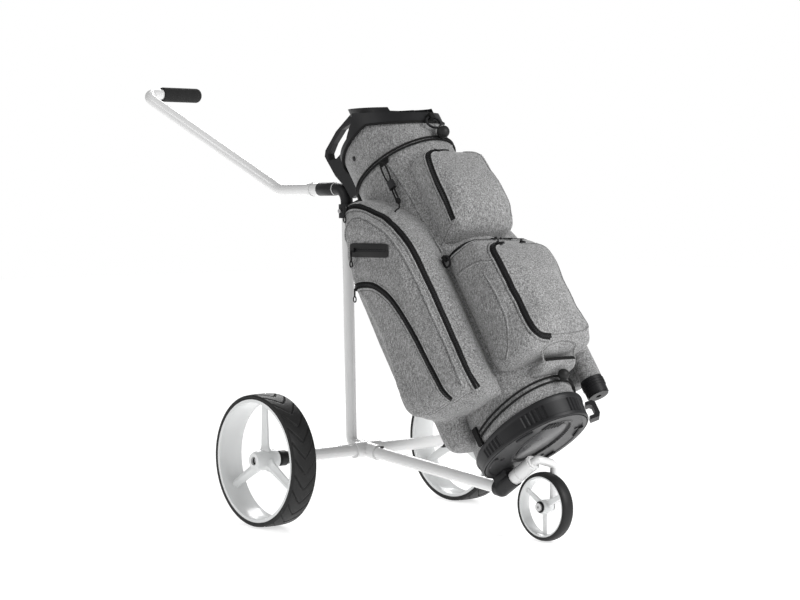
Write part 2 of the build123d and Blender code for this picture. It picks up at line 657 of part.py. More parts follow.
# Small level zip pocket on the right-hand panel, with its slider and pull.
PURSE_Z = 603.0
PURSE_FROM, PURSE_TO = 62.0, 158.0
PURSE_HALF = 15.0
PURSE_T, PURSE_TEETH_T = 1.6, 1.2


def level_point(n, z=PURSE_Z):
    return (n, level(z, n))

PURSE_FACE = PANEL_Y + PURSE_T + PURSE_TEETH_T

with BuildPart() as purse_panel:
    low, high = PURSE_Z - PURSE_HALF, PURSE_Z + PURSE_HALF
    outline = [level_point(PURSE_FROM - 4, low), level_point(PURSE_TO + 4, low),
               level_point(PURSE_TO + 4, high), level_point(PURSE_FROM - 4, high)]
    add(slab(outline, PANEL_Y, PANEL_Y + PURSE_T))
    add(slab([level_point(PURSE_FROM, PURSE_Z - 1.2), level_point(PURSE_TO, PURSE_Z - 1.2),
              level_point(PURSE_TO, PURSE_Z + 1.2), level_point(PURSE_FROM, PURSE_Z + 1.2)],
             PANEL_Y + PURSE_T, PURSE_FACE))
save(purse_panel, "purse_panel")

PURSE_START = on_bag(PURSE_FROM + 8, -PURSE_FACE, level(PURSE_Z, PURSE_FROM + 8))
with BuildPart() as purse_slider:
    with Locations(PURSE_START - Vector(0, 2.3, 0)):
        Box(10, 3.6, 9)
save(purse_slider, "purse_slider")


def pull(top, name, length=24.0):
    """A hanging zip pull: a flat link with an eye at its top and a ring at its foot."""
    with BuildPart() as tag:
        plane = Plane(origin=top, x_dir=(1, 0, 0), z_dir=(0, -1, 0))
        with BuildSketch(plane):
            Circle(1.6)
            with Locations((0, -length / 2)):
                Rectangle(3.2, length)
            with Locations((0, -length - 4)):
                Ellipse(5.2, 7)
                Ellipse(3.2, 5, mode=Mode.SUBTRACT)
        extrude(amount=2)
    save(tag, name)


pull(PURSE_START + Vector(0, -5.8, -2), "purse_pull")
PULL_UPPER_AT = on_bag(78, -STEP_Y - 6.2, 642)
PULL_LOWER_AT = on_bag(28, -PANEL_Y - 3.4, 464)
pull(PULL_UPPER_AT, "side_pull_upper")
pull(PULL_LOWER_AT, "side_pull_lower", 18)

# ================================================================== front pockets
UPPER_FRONT = [(204, 668), (262, 664), (284, 648), (296, 600), (298, 482), (282, 444), (204, 436)]
UPPER_PANEL = [(262, 640), (298, 596), (308, 560), (308, 490), (298, 474), (262, 470)]
LOWER_FRONT = [(204, 428), (262, 428), (300, 412), (322, 380), (330, 335), (334, 148), (322, 128), (204, 130)]
LOWER_PANEL = [(300, 395), (336, 378), (346, 335), (348, 160), (338, 140), (300, 138)]
FLAP = [(240, 122), (306, 123), (302, 104), (284, 97), (240, 97)]
FLAP_MOUTH = [(276, 90), (292, 90), (296, 116), (280, 116)]
UPPER_HALF, LOWER_HALF, FLAP_HALF = 86.0, 99.0, 50.0
PANEL_INSET = 14.0


def front_pocket(outline, panel, half_width):
    with BuildPart() as pocket:
        add(slab(outline, -half_width, half_width))
        add(slab(panel, -half_width + PANEL_INSET, half_width - PANEL_INSET))
        add(trunk(0, 800, GAP), mode=Mode.SUBTRACT)
    return pocket.part


with BuildPart() as upper_front_pocket:
    add(front_pocket(UPPER_FRONT, UPPER_PANEL, UPPER_HALF))
save(upper_front_pocket, "upper_front_pocket")

with BuildPart() as lower_front_pocket:
    add(front_pocket(LOWER_FRONT, LOWER_PANEL, LOWER_HALF))
save(lower_front_pocket, "lower_front_pocket")

with BuildPart() as flap_pocket:
    add(slab(FLAP, -FLAP_HALF, FLAP_HALF))
    add(trunk(0, 800, GAP), mode=Mode.SUBTRACT)
    add(slab(FLAP_MOUTH, -FLAP_HALF + 4, FLAP_HALF - 4), mode=Mode.SUBTRACT)
save(flap_pocket, "flap_pocket")

FRONT_ZIPS = [(UPPER_FRONT, UPPER_HALF, 500, 640), (LOWER_FRONT, LOWER_HALF, 160, 380)]
with BuildPart() as front_zip_tapes:
    for outline, half_width, s_from, s_to in FRONT_ZIPS:
        front = max(n for n, s in outline) + GAP
        for side in (1, -1):
            centre = on_bag(front, side * (half_width - PANEL_INSET / 2), (s_from + s_to) / 2)
            with BuildSketch(Plane(origin=centre, x_dir=(0, 1, 0), z_dir=BAG.x_dir)):
                Rectangle(ZIP_WIDTH, s_to - s_from)
            extrude(amount=ZIP_T)
save(front_zip_tapes, "front_zip_tapes")

# ================================================================== umbrella holder, left side
HOLDER_FROM, HOLDER_TO = 92.0, 420.0


def holder_rod(s_from, s_to, radius, bore=0.0):
    """A round piece on the umbrella holder's axis."""
    return rod(on_bag(HOLDER_N, HOLDER_Y, s_from), on_bag(HOLDER_N, HOLDER_Y, s_to), radius, bore)


with BuildPart() as umbrella_sleeve:
    add(slab([(230, 140), (250, 140), (250, 390), (230, 390)], -HOLDER_Y, -LOWER_HALF - GAP))
    add(holder_rod(HOLDER_FROM, HOLDER_TO, HOLDER_R))
    add(holder_rod(HOLDER_FROM - 2, HOLDER_TO + 2, HOLDER_R - 2.5), mode=Mode.SUBTRACT)
save(umbrella_sleeve, "umbrella_sleeve")

with BuildPart() as umbrella_cup:
    add(holder_rod(55, HOLDER_FROM - GAP, HOLDER_R, HOLDER_R - 3))
    add(holder_rod(52, 58, HOLDER_R - 2, 6))
    for rib in (72, 78, 84):
        add(holder_rod(rib, rib + 3, HOLDER_R + 1.5, HOLDER_R - 1))
save(umbrella_cup, "umbrella_cup")

# ================================================================== boot handle
BOOT_HANDLE_TURN = math.radians(52)       # round the boot from its front
BOOT_HANDLE_OUT = BAG.x_dir * math.cos(BOOT_HANDLE_TURN) + Vector(0, math.sin(BOOT_HANDLE_TURN), 0)
BOOT_HANDLE_N = BASE_A + BOOT_A * math.cos(BOOT_HANDLE_TURN)
BOOT_HANDLE_ROOT = on_bag(BOOT_HANDLE_N, BOOT_B * math.sin(BOOT_HANDLE_TURN), 0)
with BuildPart() as boot_handle:
    loop_plane = Plane(origin=BOOT_HANDLE_ROOT, x_dir=BOOT_HANDLE_OUT, z_dir=BOOT_HANDLE_OUT.cross(BAG.z_dir))
    with BuildSketch(loop_plane):
        with BuildLine():
            Polyline((0, 3), (20, 3), (24, 10), (24, 36), (18, 42), (4, 42), close=True)
        make_face()
        with BuildLine():
            Polyline((-6, 11), (12, 11), (15, 15), (15, 30), (11, 34), (-6, 34), close=True)
        make_face(mode=Mode.SUBTRACT)
    extrude(amount=12, both=True)
    with BuildSketch(BAG):
        with Locations((BASE_A, 0)):
            Ellipse(BASE_A + 0.3, BASE_B + 0.3)
    with BuildSketch(BAG.offset(60)):
        with Locations((body_a(30), 0)):
            Ellipse(BOOT_A + 0.3, BOOT_B + 0.3)
    loft(mode=Mode.SUBTRACT)
save(boot_handle, "boot_handle")

# ================================================================== upper bracket and straps
PAD_HALF = 62.0
PAD_S0, PAD_S1 = 690.0, 734.0
CLAMP_Z0, CLAMP_Z1 = 670.0, 702.0
UPRIGHT_DIR = (UPRIGHT_PATH[2] - UPRIGHT_PATH[1]).normalized()
CLAMP_R = 19.0
CLAMP_LOW = UPRIGHT_PATH[1] + UPRIGHT_DIR * (CLAMP_Z0 - UPRIGHT_PATH[1].Z)
CLAMP_TOP = UPRIGHT_PATH[1] + UPRIGHT_DIR * (CLAMP_Z1 - UPRIGHT_PATH[1].Z)


def bracket_pad():
    """The curved pad of the upper bracket, against the bag's spine."""
    with BuildPart() as form:
        add(trunk(PAD_S0, PAD_S1, 7))
        add(slab([(-40, 660), (40, 660), (40, 760), (-40, 760)], -PAD_HALF, PAD_HALF), mode=Mode.INTERSECT)
    return form.part


with BuildPart() as upper_bracket:
    add(rod(CLAMP_LOW, CLAMP_TOP, CLAMP_R))
    add(slab([(-94, 731), (-80, 752), (-4, 730), (-4, 696)], -9, 9))
    add(bracket_pad())
    add(trunk(600, 800, GAP), mode=Mode.SUBTRACT)
    add(rod(CLAMP_LOW - UPRIGHT_DIR * 20, CLAMP_TOP + UPRIGHT_DIR * 20, UPRIGHT_R + FIT), mode=Mode.SUBTRACT)
save(upper_bracket, "upper_bracket")

with BuildPart() as bracket_screws:
    for side in (1, -1):
        head = (CLAMP_LOW + CLAMP_TOP) * 0.5 + Vector(0, side * (CLAMP_R + 0.1), 0)
        add(rod(head, head + Vector(0, side * 4.5, 0), 5))
save(bracket_screws, "bracket_screws")


def band(plane, a, b, centre_n, thickness, inner, outer):
    """A closed band round the bag, standing off its surface."""
    with BuildPart() as form:
        with BuildSketch(plane):
            with Locations((centre_n, 0)):
                Ellipse(a + outer, b + outer)
                Ellipse(a + inner, b + inner, mode=Mode.SUBTRACT)
        extrude(amount=thickness)
    return form.part


CORD = 4.5
UPPER_KNOB_R, LOWER_KNOB_R = 14.0, 12.0
UPPER_OFF, LOWER_OFF = 1.2, 1.6        # how far the straps stand off the fabric
with BuildPart() as upper_strap:
    for s in (STRAP_S - 5.5, STRAP_S + 1.0):
        add(band(BAG.offset(s), body_a(s), body_b(s), body_a(s), CORD, UPPER_OFF, UPPER_OFF + CORD))
    add(slab([(-30, 680), (40, 680), (40, 730), (-30, 730)], -PAD_HALF, PAD_HALF), mode=Mode.SUBTRACT)
save(upper_strap, "upper_strap")

with BuildPart() as upper_strap_knob:
    with Locations(on_bag(2 * body_a(STRAP_S) + 20.2, 6, STRAP_S + 4)):
        Sphere(UPPER_KNOB_R)
save(upper_strap_knob, "upper_strap_knob")

LOW_C, LOW_SN = math.cos(math.radians(LOW_STRAP_SLOPE)), math.sin(math.radians(LOW_STRAP_SLOPE))
low_x = BAG.x_dir * LOW_C + BAG.z_dir * LOW_SN
low_z = BAG.z_dir * LOW_C - BAG.x_dir * LOW_SN
LOW_A, LOW_B = BODY_A / LOW_C, BODY_B
with BuildPart() as lower_strap:
    for rise in (0, 6.5):
        plane = Plane(origin=on_bag(BODY_A - 1, 0, LOW_STRAP_S + 14 + rise), x_dir=low_x, z_dir=low_z)
        add(band(plane, LOW_A, LOW_B, 0, CORD, LOWER_OFF, LOWER_OFF + CORD))
    add(slab([(-40, 0), (108, 0), (108, 120), (-40, 120)], -WIDE, WIDE), mode=Mode.SUBTRACT)
save(lower_strap, "lower_strap")

with BuildPart() as lower_strap_knob:
    with Locations(on_bag(2 * BODY_A + 20, 2, 84)):
        Sphere(LOWER_KNOB_R)
save(lower_strap_knob, "lower_strap_knob")

LOW_STRAP_N = 108.0        # the lower strap's ends, on both sides


def anchor_webbing():
    """The webbing patch at the right-hand end of the lower strap."""
    front = LOW_STRAP_N - GAP
    with BuildPart() as form:
        add(trunk(24, 74, 6.4))
        add(trunk(10, 90, GAP), mode=Mode.SUBTRACT)
        add(slab([(92, 35), (front, 35), (front, 74), (92, 74)], 0, 160), mode=Mode.INTERSECT)
    return form.part


with BuildPart() as strap_anchors:
    add(anchor_webbing())
    mirror(anchor_webbing(), about=Plane.XZ)
save(strap_anchors, "strap_anchors")

# ================================================================== bungee, cord lock, rings and tabs
BUNGEE_N, BUNGEE_Y = 172.0, -108.5
BUNGEE_TOP, BUNGEE_LOW = 688.0, 596.0
BUNGEE_R = 2.0
LOCK_S = 634.0
with BuildPart() as bungee_cord:
    for n in (BUNGEE_N - 4, BUNGEE_N + 4):
        add(rod(on_bag(n, BUNGEE_Y, BUNGEE_LOW), on_bag(n, BUNGEE_Y, BUNGEE_TOP), BUNGEE_R))
    add(rod(on_bag(BUNGEE_N, BUNGEE_Y - 1, BUNGEE_LOW - 6), on_bag(BUNGEE_N + 18, -150, 552), BUNGEE_R))
    with Locations(on_bag(BUNGEE_N, BUNGEE_Y, BUNGEE_LOW - 4)):
        Sphere(6.5)
save(bungee_cord, "bungee_cord")

with BuildPart() as cord_lock:
    lock_plane = Plane(origin=on_bag(BUNGEE_N, BUNGEE_Y, LOCK_S - 9), x_dir=BAG.x_dir, z_dir=BAG.z_dir)
    with BuildSketch(lock_plane):
        SlotOverall(19, 11)
        with Locations((-4, 0), (4, 0)):
            Circle(BUNGEE_R + 0.4, mode=Mode.SUBTRACT)
    extrude(amount=18)
save(cord_lock, "cord_lock")

RING_WIRE = 1.6           # half thickness of a ring's wire
D_RING_N, D_RING_Y, D_RING_S = 222.0, LOWER_HALF + 5.0, 412.0     # middle of the ring's straight bar
D_RING_R = 11.0
D_PLANE = Plane(origin=on_bag(D_RING_N, -D_RING_Y, D_RING_S), x_dir=BAG.x_dir, z_dir=(0, -1, 0))


def d_shape(radius, top):
    """A letter D on its side: a straight bar at the top and a round foot."""
    with BuildSketch(D_PLANE) as face:
        with BuildLine():
            Polyline((-radius, -10), (-radius, top), (radius, top), (radius, -10))
            ThreePointArc((radius, -10), (0, -10 - radius), (-radius, -10))
        make_face()
    return face.sketch


with BuildPart() as d_ring:
    extrude(d_shape(D_RING_R, RING_WIRE), amount=RING_WIRE, both=True)
    extrude(d_shape(D_RING_R - 2 * RING_WIRE, -RING_WIRE), amount=RING_WIRE, both=True, mode=Mode.SUBTRACT)
save(d_ring, "d_ring")

TOWEL_N, TOWEL_S = 2 * TOP_A + 14.0, 752.0
TOWEL_PLANE = Plane(origin=on_bag(TOWEL_N, 0, TOWEL_S), x_dir=(0, 1, 0), z_dir=BAG.x_dir)
with BuildPart() as towel_ring:
    with BuildSketch(TOWEL_PLANE):
        with Locations((0, -14)):
            Ellipse(21, 16)
            Ellipse(17.4, 12.4, mode=Mode.SUBTRACT)
    extrude(amount=RING_WIRE + GAP, both=True)
save(towel_ring, "towel_ring")

TOWEL_SLOT = 6.8          # square slots that the rings turn in
D_SLOT = 5.6
with BuildPart() as ring_tabs:
    with BuildSketch(TOWEL_PLANE.offset(-7)):
        with Locations((0, 1.5)):
            Rectangle(12, 14)
    extrude(amount=13.5)
    with Locations(TOWEL_PLANE):
        Box(50, TOWEL_SLOT, TOWEL_SLOT, mode=Mode.SUBTRACT)
    with BuildSketch(D_PLANE.offset(-D_RING_Y + LOWER_HALF + GAP)):
        with Locations((0, 0.5)):
            Rectangle(9, 12)
    extrude(amount=9.4)
    with Locations(D_PLANE):
        Box(20, D_SLOT, D_SLOT, mode=Mode.SUBTRACT)
save(ring_tabs, "ring_tabs")

parts_made = sorted(os.listdir("parts"))
print(len(parts_made), "parts; axle at x =", round(AXLE_X, 2))
print("overall length", round(HANDLE_REACH + BAG_REACH, 1))
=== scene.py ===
"""Looks of a padded golf bag strapped to a three-wheeled push cart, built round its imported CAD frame.

Everything is in metres, in the frame of the CAD part: +X forwards, +Y to the left, +Z up, floor at z = 0.
The bag leans back, so most of its pieces are placed in its own axes, in millimetres:
n runs forwards across the bag from its spine, y to the left, s up along the bag.
"""

import json
import math

import bmesh
import bpy
from mathutils import Matrix, Vector, noise
from mathutils.bvhtree import BVHTree


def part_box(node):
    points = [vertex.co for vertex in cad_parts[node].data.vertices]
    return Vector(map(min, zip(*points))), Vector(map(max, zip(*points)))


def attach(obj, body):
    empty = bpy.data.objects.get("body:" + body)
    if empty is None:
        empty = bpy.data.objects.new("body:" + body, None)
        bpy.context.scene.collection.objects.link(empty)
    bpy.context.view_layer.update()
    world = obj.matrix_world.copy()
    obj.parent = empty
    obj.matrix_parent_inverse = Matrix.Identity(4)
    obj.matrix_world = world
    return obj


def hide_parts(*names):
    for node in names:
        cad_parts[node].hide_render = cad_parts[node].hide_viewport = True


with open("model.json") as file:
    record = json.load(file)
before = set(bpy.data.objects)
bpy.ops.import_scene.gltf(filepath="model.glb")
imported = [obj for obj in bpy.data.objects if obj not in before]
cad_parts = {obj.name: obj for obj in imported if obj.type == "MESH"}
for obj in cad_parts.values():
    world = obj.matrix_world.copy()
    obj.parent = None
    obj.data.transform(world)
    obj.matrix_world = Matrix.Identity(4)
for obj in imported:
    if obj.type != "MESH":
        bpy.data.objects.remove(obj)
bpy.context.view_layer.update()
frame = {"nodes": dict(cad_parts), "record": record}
NODES = frame["nodes"]

# ---------------------------------------------------------------- the bag's axes
LEAN = math.radians(34)
CL, SL = math.cos(LEAN), math.sin(LEAN)
FOOT_REACH, FOOT_Z = 434.0, 120.0
TYRE_LOW, TYRE_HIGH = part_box("rear_tyre_left")
AXLE_X = (TYRE_LOW.x + TYRE_HIGH.x) / 2
AXLE_Z = (TYRE_LOW.z + TYRE_HIGH.z) / 2
N_AXIS = Vector((CL, 0, SL))
S_AXIS = Vector((-SL, 0, CL))
MM = 0.001


def bag(n, y, s):
    """A point given in the bag's own axes, in millimetres."""
    x = FOOT_REACH + n * CL - s * SL
    z = FOOT_Z + n * SL + s * CL
    return Vector((AXLE_X + x * MM, y * MM, z * MM))


def to_bag(p):
    """n, y and s of a point."""
    x = (p.x - AXLE_X) / MM - FOOT_REACH
    z = p.z / MM - FOOT_Z
    return x * CL + z * SL, p.y / MM, -x * SL + z * CL


BODY_FOOT, BODY_LENGTH = 16.0, 774.0
FOOT_DEPTH, TAPER, HALF_WIDTH = 135.0, 12.0, 106.0
CUFF_LEVEL = 780.0


def body_half(s):
    """Half depth and half width of the fabric body at s."""
    return FOOT_DEPTH - TAPER * (s - BODY_FOOT) / BODY_LENGTH, HALF_WIDTH


def level(z, n):
    """How far up the bag the level z is reached, at depth n."""
    return (z - FOOT_Z - n * SL) / CL


# ---------------------------------------------------------------- materials
def set_inputs(node, values):
    for name, value in values.items():
        node.inputs[name].default_value = value


class Look:
    """A material and the helpers that add nodes to it."""

    def __init__(self, name):
        self.material = bpy.data.materials.new(name)
        self.material.use_nodes = True
        self.nodes = self.material.node_tree.nodes
        self.shader = self.nodes["Principled BSDF"]

    def link(self, value, node, name):
        self.material.node_tree.links.new(value, node.inputs[name])

    def coords(self, scale, turn=0.0):
        """Object coordinates turned about Y and stretched."""
        texture = self.nodes.new("ShaderNodeTexCoord")
        mapping = self.nodes.new("ShaderNodeMapping")
        set_inputs(mapping, {"Rotation": (0, turn, 0), "Scale": scale})
        self.link(texture.outputs["Object"], mapping, "Vector")
        return mapping.outputs["Vector"]

    def noise(self, vector, scale, detail=3.0, rough=0.6):
        node = self.nodes.new("ShaderNodeTexNoise")
        set_inputs(node, {"Scale": scale, "Detail": detail, "Roughness": rough})
        self.link(vector, node, "Vector")
        return node.outputs["Fac"]

    def ramp(self, value, stops):
        node = self.nodes.new("ShaderNodeValToRGB")
        elements = node.color_ramp.elements
        while len(elements) < len(stops):
            elements.new(0.5)
        for element, (at, colour) in zip(elements, stops):
            element.position = at
            element.color = (*colour, 1)
        self.link(value, node, "Fac")
        return node.outputs["Color"]

    def mixed(self, a, b, factor=0.5, blend="MIX"):
        node = self.nodes.new("ShaderNodeMix")
        node.data_type = "RGBA"
        node.blend_type = blend
        node.inputs["Factor"].default_value = factor
        self.link(a, node, "A")
        self.link(b, node, "B")
        return node.outputs["Result"]

    def bump(self, height, strength, distance):
        node = self.nodes.new("ShaderNodeBump")
        set_inputs(node, {"Strength": strength, "Distance": distance})
        self.link(height, node, "Height")
        self.link(node.outputs["Normal"], self.shader, "Normal")


def grey(v):
    return (v, v, v)


def heather(name, dark, light):
    """Woven polyester in two yarns: pale and dark flecks along the bag, over a fine plain weave."""
    look = Look(name)
    along = look.coords((1, 1, 0.34), LEAN)
    across = look.coords((0.4, 0.4, 1), LEAN)
    fleck = look.noise(along, 430, 4, 0.75)
    cross = look.noise(across, 620, 3, 0.7)
    patch = look.noise(along, 16, 2, 0.5)
    stops = [(0.36, grey(dark)), (0.47, grey((dark + light) * 0.4)), (0.54, grey(light * 0.8)),
             (0.64, grey(light * 1.4))]
    first = look.ramp(fleck, stops)
    second = look.ramp(cross, stops)
    weave = look.mixed(first, second, 0.42)
    shade = look.ramp(patch, [(0.3, grey(0.86)), (0.7, grey(1.0))])
    colour = look.mixed(weave, shade, 1.0, "MULTIPLY")
    look.link(colour, look.shader, "Base Color")
    set_inputs(look.shader, {"Roughness": 0.86, "Sheen Weight": 0.25, "Sheen Roughness": 0.5})
    look.bump(cross, 0.55, 0.0006)
    return look.material


def plastic(name, colour, rough=0.42, grain=0.3):
    """Moulded plastic: fine grain, with handling marks in its gloss."""
    look = Look(name)
    vector = look.coords((1, 1, 1))
    fine = look.noise(vector, 900, 2)
    wide = look.noise(vector, 22, 4)
    tint = look.ramp(wide, [(0.3, tuple(c * 0.85 for c in colour)), (0.7, tuple(c * 1.15 for c in colour))])
    look.link(tint, look.shader, "Base Color")
    gloss = look.ramp(wide, [(0.25, grey(rough - 0.06)), (0.75, grey(rough + 0.09))])
    look.link(gloss, look.shader, "Roughness")
    look.shader.inputs["Specular IOR Level"].default_value = 0.28
    look.bump(fine, grain, 0.0003)
    return look.material


def paint(name, colour, rough=0.2, coat=0.6):
    """Gloss powder paint with a slight orange peel."""
    look = Look(name)
    vector = look.coords((1, 1, 1))
    peel = look.noise(vector, 260, 2)
    wide = look.noise(vector, 9, 3)
    tint = look.ramp(wide, [(0.3, tuple(c * 0.97 for c in colour)), (0.7, colour)])
    look.link(tint, look.shader, "Base Color")
    set_inputs(look.shader, {"Roughness": rough, "Coat Weight": coat, "Coat Roughness": 0.08})
    look.bump(peel, 0.05, 0.0005)
    return look.material


def woven(name, value, scale=700, rough=0.8):
    """Woven tape or braided cover: crossing ribs, with the colour paler where the ribs rise and darker
    between them.
    """
    look = Look(name)
    vector = look.coords((1, 1, 1), LEAN)
    wave = look.nodes.new("ShaderNodeTexWave")
    wave.bands_direction = "DIAGONAL"
    set_inputs(wave, {"Scale": scale, "Distortion": 1.5})
    look.link(vector, wave, "Vector")
    fine = look.noise(vector, scale * 1.7, 2)
    rib = look.mixed(wave.outputs["Color"], fine, 0.5)
    tint = look.ramp(rib, [(0.2, grey(value * 0.6)), (0.8, grey(value * 1.6))])
    look.link(tint, look.shader, "Base Color")
    set_inputs(look.shader, {"Roughness": rough, "Specular IOR Level": 0.15})
    look.bump(rib, 0.5, 0.0005)
    return look.material


def rubber(name, value, rough=0.62, scale=500, grain=0.35):
    look = Look(name)
    vector = look.coords((1, 1, 1))
    fine = look.noise(vector, scale, 4)
    wide = look.noise(vector, 14, 4)
    tint = look.ramp(wide, [(0.3, grey(value * 0.8)), (0.75, grey(value * 1.5))])
    look.link(tint, look.shader, "Base Color")
    set_inputs(look.shader, {"Roughness": rough, "Specular IOR Level": 0.25})
    look.bump(fine, grain, 0.0004)
    return look.material


def steel(name):
    look = Look(name)
    vector = look.coords((1, 8, 1))
    lines = look.noise(vector, 300, 3)
    tint = look.ramp(lines, [(0.3, grey(0.45)), (0.7, grey(0.62))])
    look.link(tint, look.shader, "Base Color")
    set_inputs(look.shader, {"Metallic": 1.0, "Roughness": 0.32})
    look.bump(lines, 0.1, 0.0002)
    return look.material


MATERIALS = {
    "fabric_grey": heather("heather_fabric", 0.03, 0.34),
    "frame_white": paint("white_paint", (0.7, 0.7, 0.7), 0.22, 0.5),
    "wheel_white": paint("white_wheel", (0.72, 0.73, 0.73), 0.3, 0.3),
    "tyre": rubber("tyre_rubber", 0.011, 0.5),
    "steel": steel("plain_steel"),
    "moulded_black": plastic("black_plastic", (0.009, 0.009, 0.01)),
    "well_black": plastic("soft_black_plastic", (0.007, 0.007, 0.008), 0.6),
    "base_grey": plastic("dark_grey_plastic", (0.022, 0.022, 0.023), 0.36),
    "foam": rubber("grip_foam", 0.016, 0.82, 900, 0.9),
    "rubber_foot": rubber("black_rubber", 0.009, 0.5),
    "webbing": woven("black_webbing", 0.009),
    "elastic": woven("black_elastic", 0.008, 1100, 0.7),
}
# The welts get a lighter copy of the heather fabric: painted highlight on the raised welts.
WELT_HIGHLIGHT_FABRIC = heather("heather_welt_painted_highlight", 0.06, 0.4)
# The thread is dark: real stitching, and also painted shade for the dark line beside the welts.
THREAD_AND_SEAM_SHADE = rubber("dark_thread_and_seam_shade", 0.05, 0.7)
ZIP_TEETH = plastic("zip_teeth", (0.012, 0.012, 0.013), 0.3, 0.1)

for entry in frame["record"]["subparts"]:
    node = NODES[entry["node"]]
    node.data.materials.clear()
    node.data.materials.append(MATERIALS[entry["material_slot"]])


# ---------------------------------------------------------------- mesh helpers
def new_object(name, data):
    """An object in the scene that shows the given data."""
    obj = bpy.data.objects.new(name, data)
    bpy.context.scene.collection.objects.link(obj)
    return obj


class Batch:
    """Collects faces and makes them one piece that rides on a body."""

    def __init__(self, name, slot, body="cart", material=None):
        self.name, self.slot, self.body = name, slot, body
        self.material = material or MATERIALS[slot]
        self.verts, self.faces = [], []

    def add(self, verts, faces):
        base = len(self.verts)
        self.verts.extend(verts)
        self.faces.extend([tuple(base + i for i in face) for face in faces])

    def make(self, sharp=40, instead_of=()):
        mesh = bpy.data.meshes.new(self.name)
        mesh.from_pydata([tuple(v) for v in self.verts], [], self.faces)
        mesh.update()
        tidy = bmesh.new()
        tidy.from_mesh(mesh)
        bmesh.ops.recalc_face_normals(tidy, faces=tidy.faces)
        tidy.to_mesh(mesh)
        tidy.free()
        obj = new_object(self.name, mesh)
        mesh.materials.append(self.material)
        mesh.shade_smooth()
        if sharp:
            mesh.set_sharp_from_angle(angle=math.radians(sharp))
        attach(obj, self.body)
        if instead_of:
            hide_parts(*instead_of)
        return obj


def resample(points, step, closed=False):
    """The same line with evenly spaced points."""
    line = list(points) + ([points[0]] if closed else [])
    lengths = [0.0]
    for a, b in zip(line, line[1:]):
        lengths.append(lengths[-1] + (b - a).length)
    count = max(2, round(lengths[-1] / step))
    result, at = [], 0
    for k in range(count if closed else count + 1):
        want = lengths[-1] * k / count
        while at < len(lengths) - 2 and lengths[at + 1] < want:
            at += 1
        span = lengths[at + 1] - lengths[at] or 1.0
        result.append(line[at].lerp(line[at + 1], (want - lengths[at]) / span))
    return result


def spline(points, step=0.004, closed=False):
    """A smooth line through the points, evenly sampled."""
    pts = [Vector(p) for p in points]
    if closed:
        guide = [pts[-1]] + pts + pts[:2]
    else:
        guide = [2 * pts[0] - pts[1]] + pts + [2 * pts[-1] - pts[-2]]
    dense = []
    for a, b, c, d in zip(guide, guide[1:], guide[2:], guide[3:]):
        for k in range(16):
            t = k / 16
            bent = 2 * a - 5 * b + 4 * c - d
            twist = 3 * b - a - 3 * c + d
            dense.append((2 * b + (c - a) * t + bent * t * t + twist * t ** 3) * 0.5)
    if not closed:
        dense.append(pts[-1])
    return resample(dense, step, closed)


def tangents(path, closed=False):
    count = len(path)
    result = []
    for i in range(count):
        before = path[(i - 1) % count] if closed else path[max(i - 1, 0)]
        after = path[(i + 1) % count] if closed else path[min(i + 1, count - 1)]
        result.append((after - before).normalized())
    return result


def turns(count):
    """Evenly spaced angles round a circle."""
    return [2 * math.pi * k / count for k in range(count)]


def bands(rows, size, closed=False, capped=True):
    """Faces between rows of size points each. Open rows are capped at both ends."""
    faces = []
    for i in range(rows if closed else rows - 1):
        j = (i + 1) % rows
        for k in range(size):
            m = (k + 1) % size
            faces.append((i * size + k, i * size + m, j * size + m, j * size + k))
    if capped and not closed:
        faces.append(tuple(range(size))[::-1])
        faces.append(tuple((rows - 1) * size + k for k in range(size)))
    return faces


def stack(batch, rings, close_ends=False):
    """Faces between rings of points."""
    verts = [p for ring in rings for p in ring]
    batch.add(verts, bands(len(rings), len(rings[0]), False, close_ends))


def sweep(batch, path, across, out, profile, closed=False):
    """A closed section carried along a line. The profile holds distances across and out."""
    verts = [p + a * wide + o * high for p, a, o in zip(path, across, out) for wide, high in profile]
    batch.add(verts, bands(len(path), len(profile), closed))


def tube(batch, path, radius, sides=8, closed=False):
    """A round cord along a line. radius is a number, or one for each point."""
    radii = [radius] * len(path) if isinstance(radius, float) else radius
    along = tangents(path, closed)
    up = along[0].orthogonal().normalized()
    verts = []
    for p, t, r in zip(path, along, radii):
        up = (up - t * up.dot(t)).normalized()
        across = t.cross(up)
        verts.extend(p + across * (r * math.cos(turn)) + up * (r * math.sin(turn)) for turn in turns(sides))
    batch.add(verts, bands(len(path), sides, closed))


def lathe(batch, centre, axis, start, profile, segments=48):
    """A closed outline of (radius, along) turned about an axis."""
    axis, start = Vector(axis), Vector(start)
    other = axis.cross(start)
    across = [start * math.cos(turn) + other * math.sin(turn) for turn in turns(segments)]
    sweep(batch, [centre] * segments, across, [axis] * segments, profile, closed=True)


class Skin:
    """The outer surface of some finished pieces, to lay trims on."""

    def __init__(self, objects):
        verts, faces = [], []
        for obj in objects:
            base = len(verts)
            verts.extend(obj.matrix_world @ v.co for v in obj.data.vertices)
            faces.extend([base + i for i in p.vertices] for p in obj.data.polygons)
        self.tree = BVHTree.FromPolygons(verts, faces)

    def snap(self, p):
        place, normal, _, _ = self.tree.find_nearest(p)
        return place, normal

    def lay(self, guide):
        """A guide line brought onto the surface: its points, directions across it and out of it."""
        path = spline(guide)
        for _ in range(3):
            path = [self.snap(p)[0] for p in path]
            path = smooth(path)
        placed = [self.snap(p) for p in path]
        path = [place for place, _ in placed]
        out = [normal for _, normal in placed]
        for _ in range(4):
            out = [v.normalized() for v in smooth(out)]
        across = []
        for t, o in zip(tangents(path), out):
            across.append(t.cross(o).normalized())
        return path, across, out


def smooth(values, closed=False):
    count = len(values)
    result = []
    for i in range(count):
        if not closed and i in (0, count - 1):
            result.append(values[i].copy())
            continue
        result.append(values[i] * 0.5 + values[(i - 1) % count] * 0.25 + values[(i + 1) % count] * 0.25)
    return result


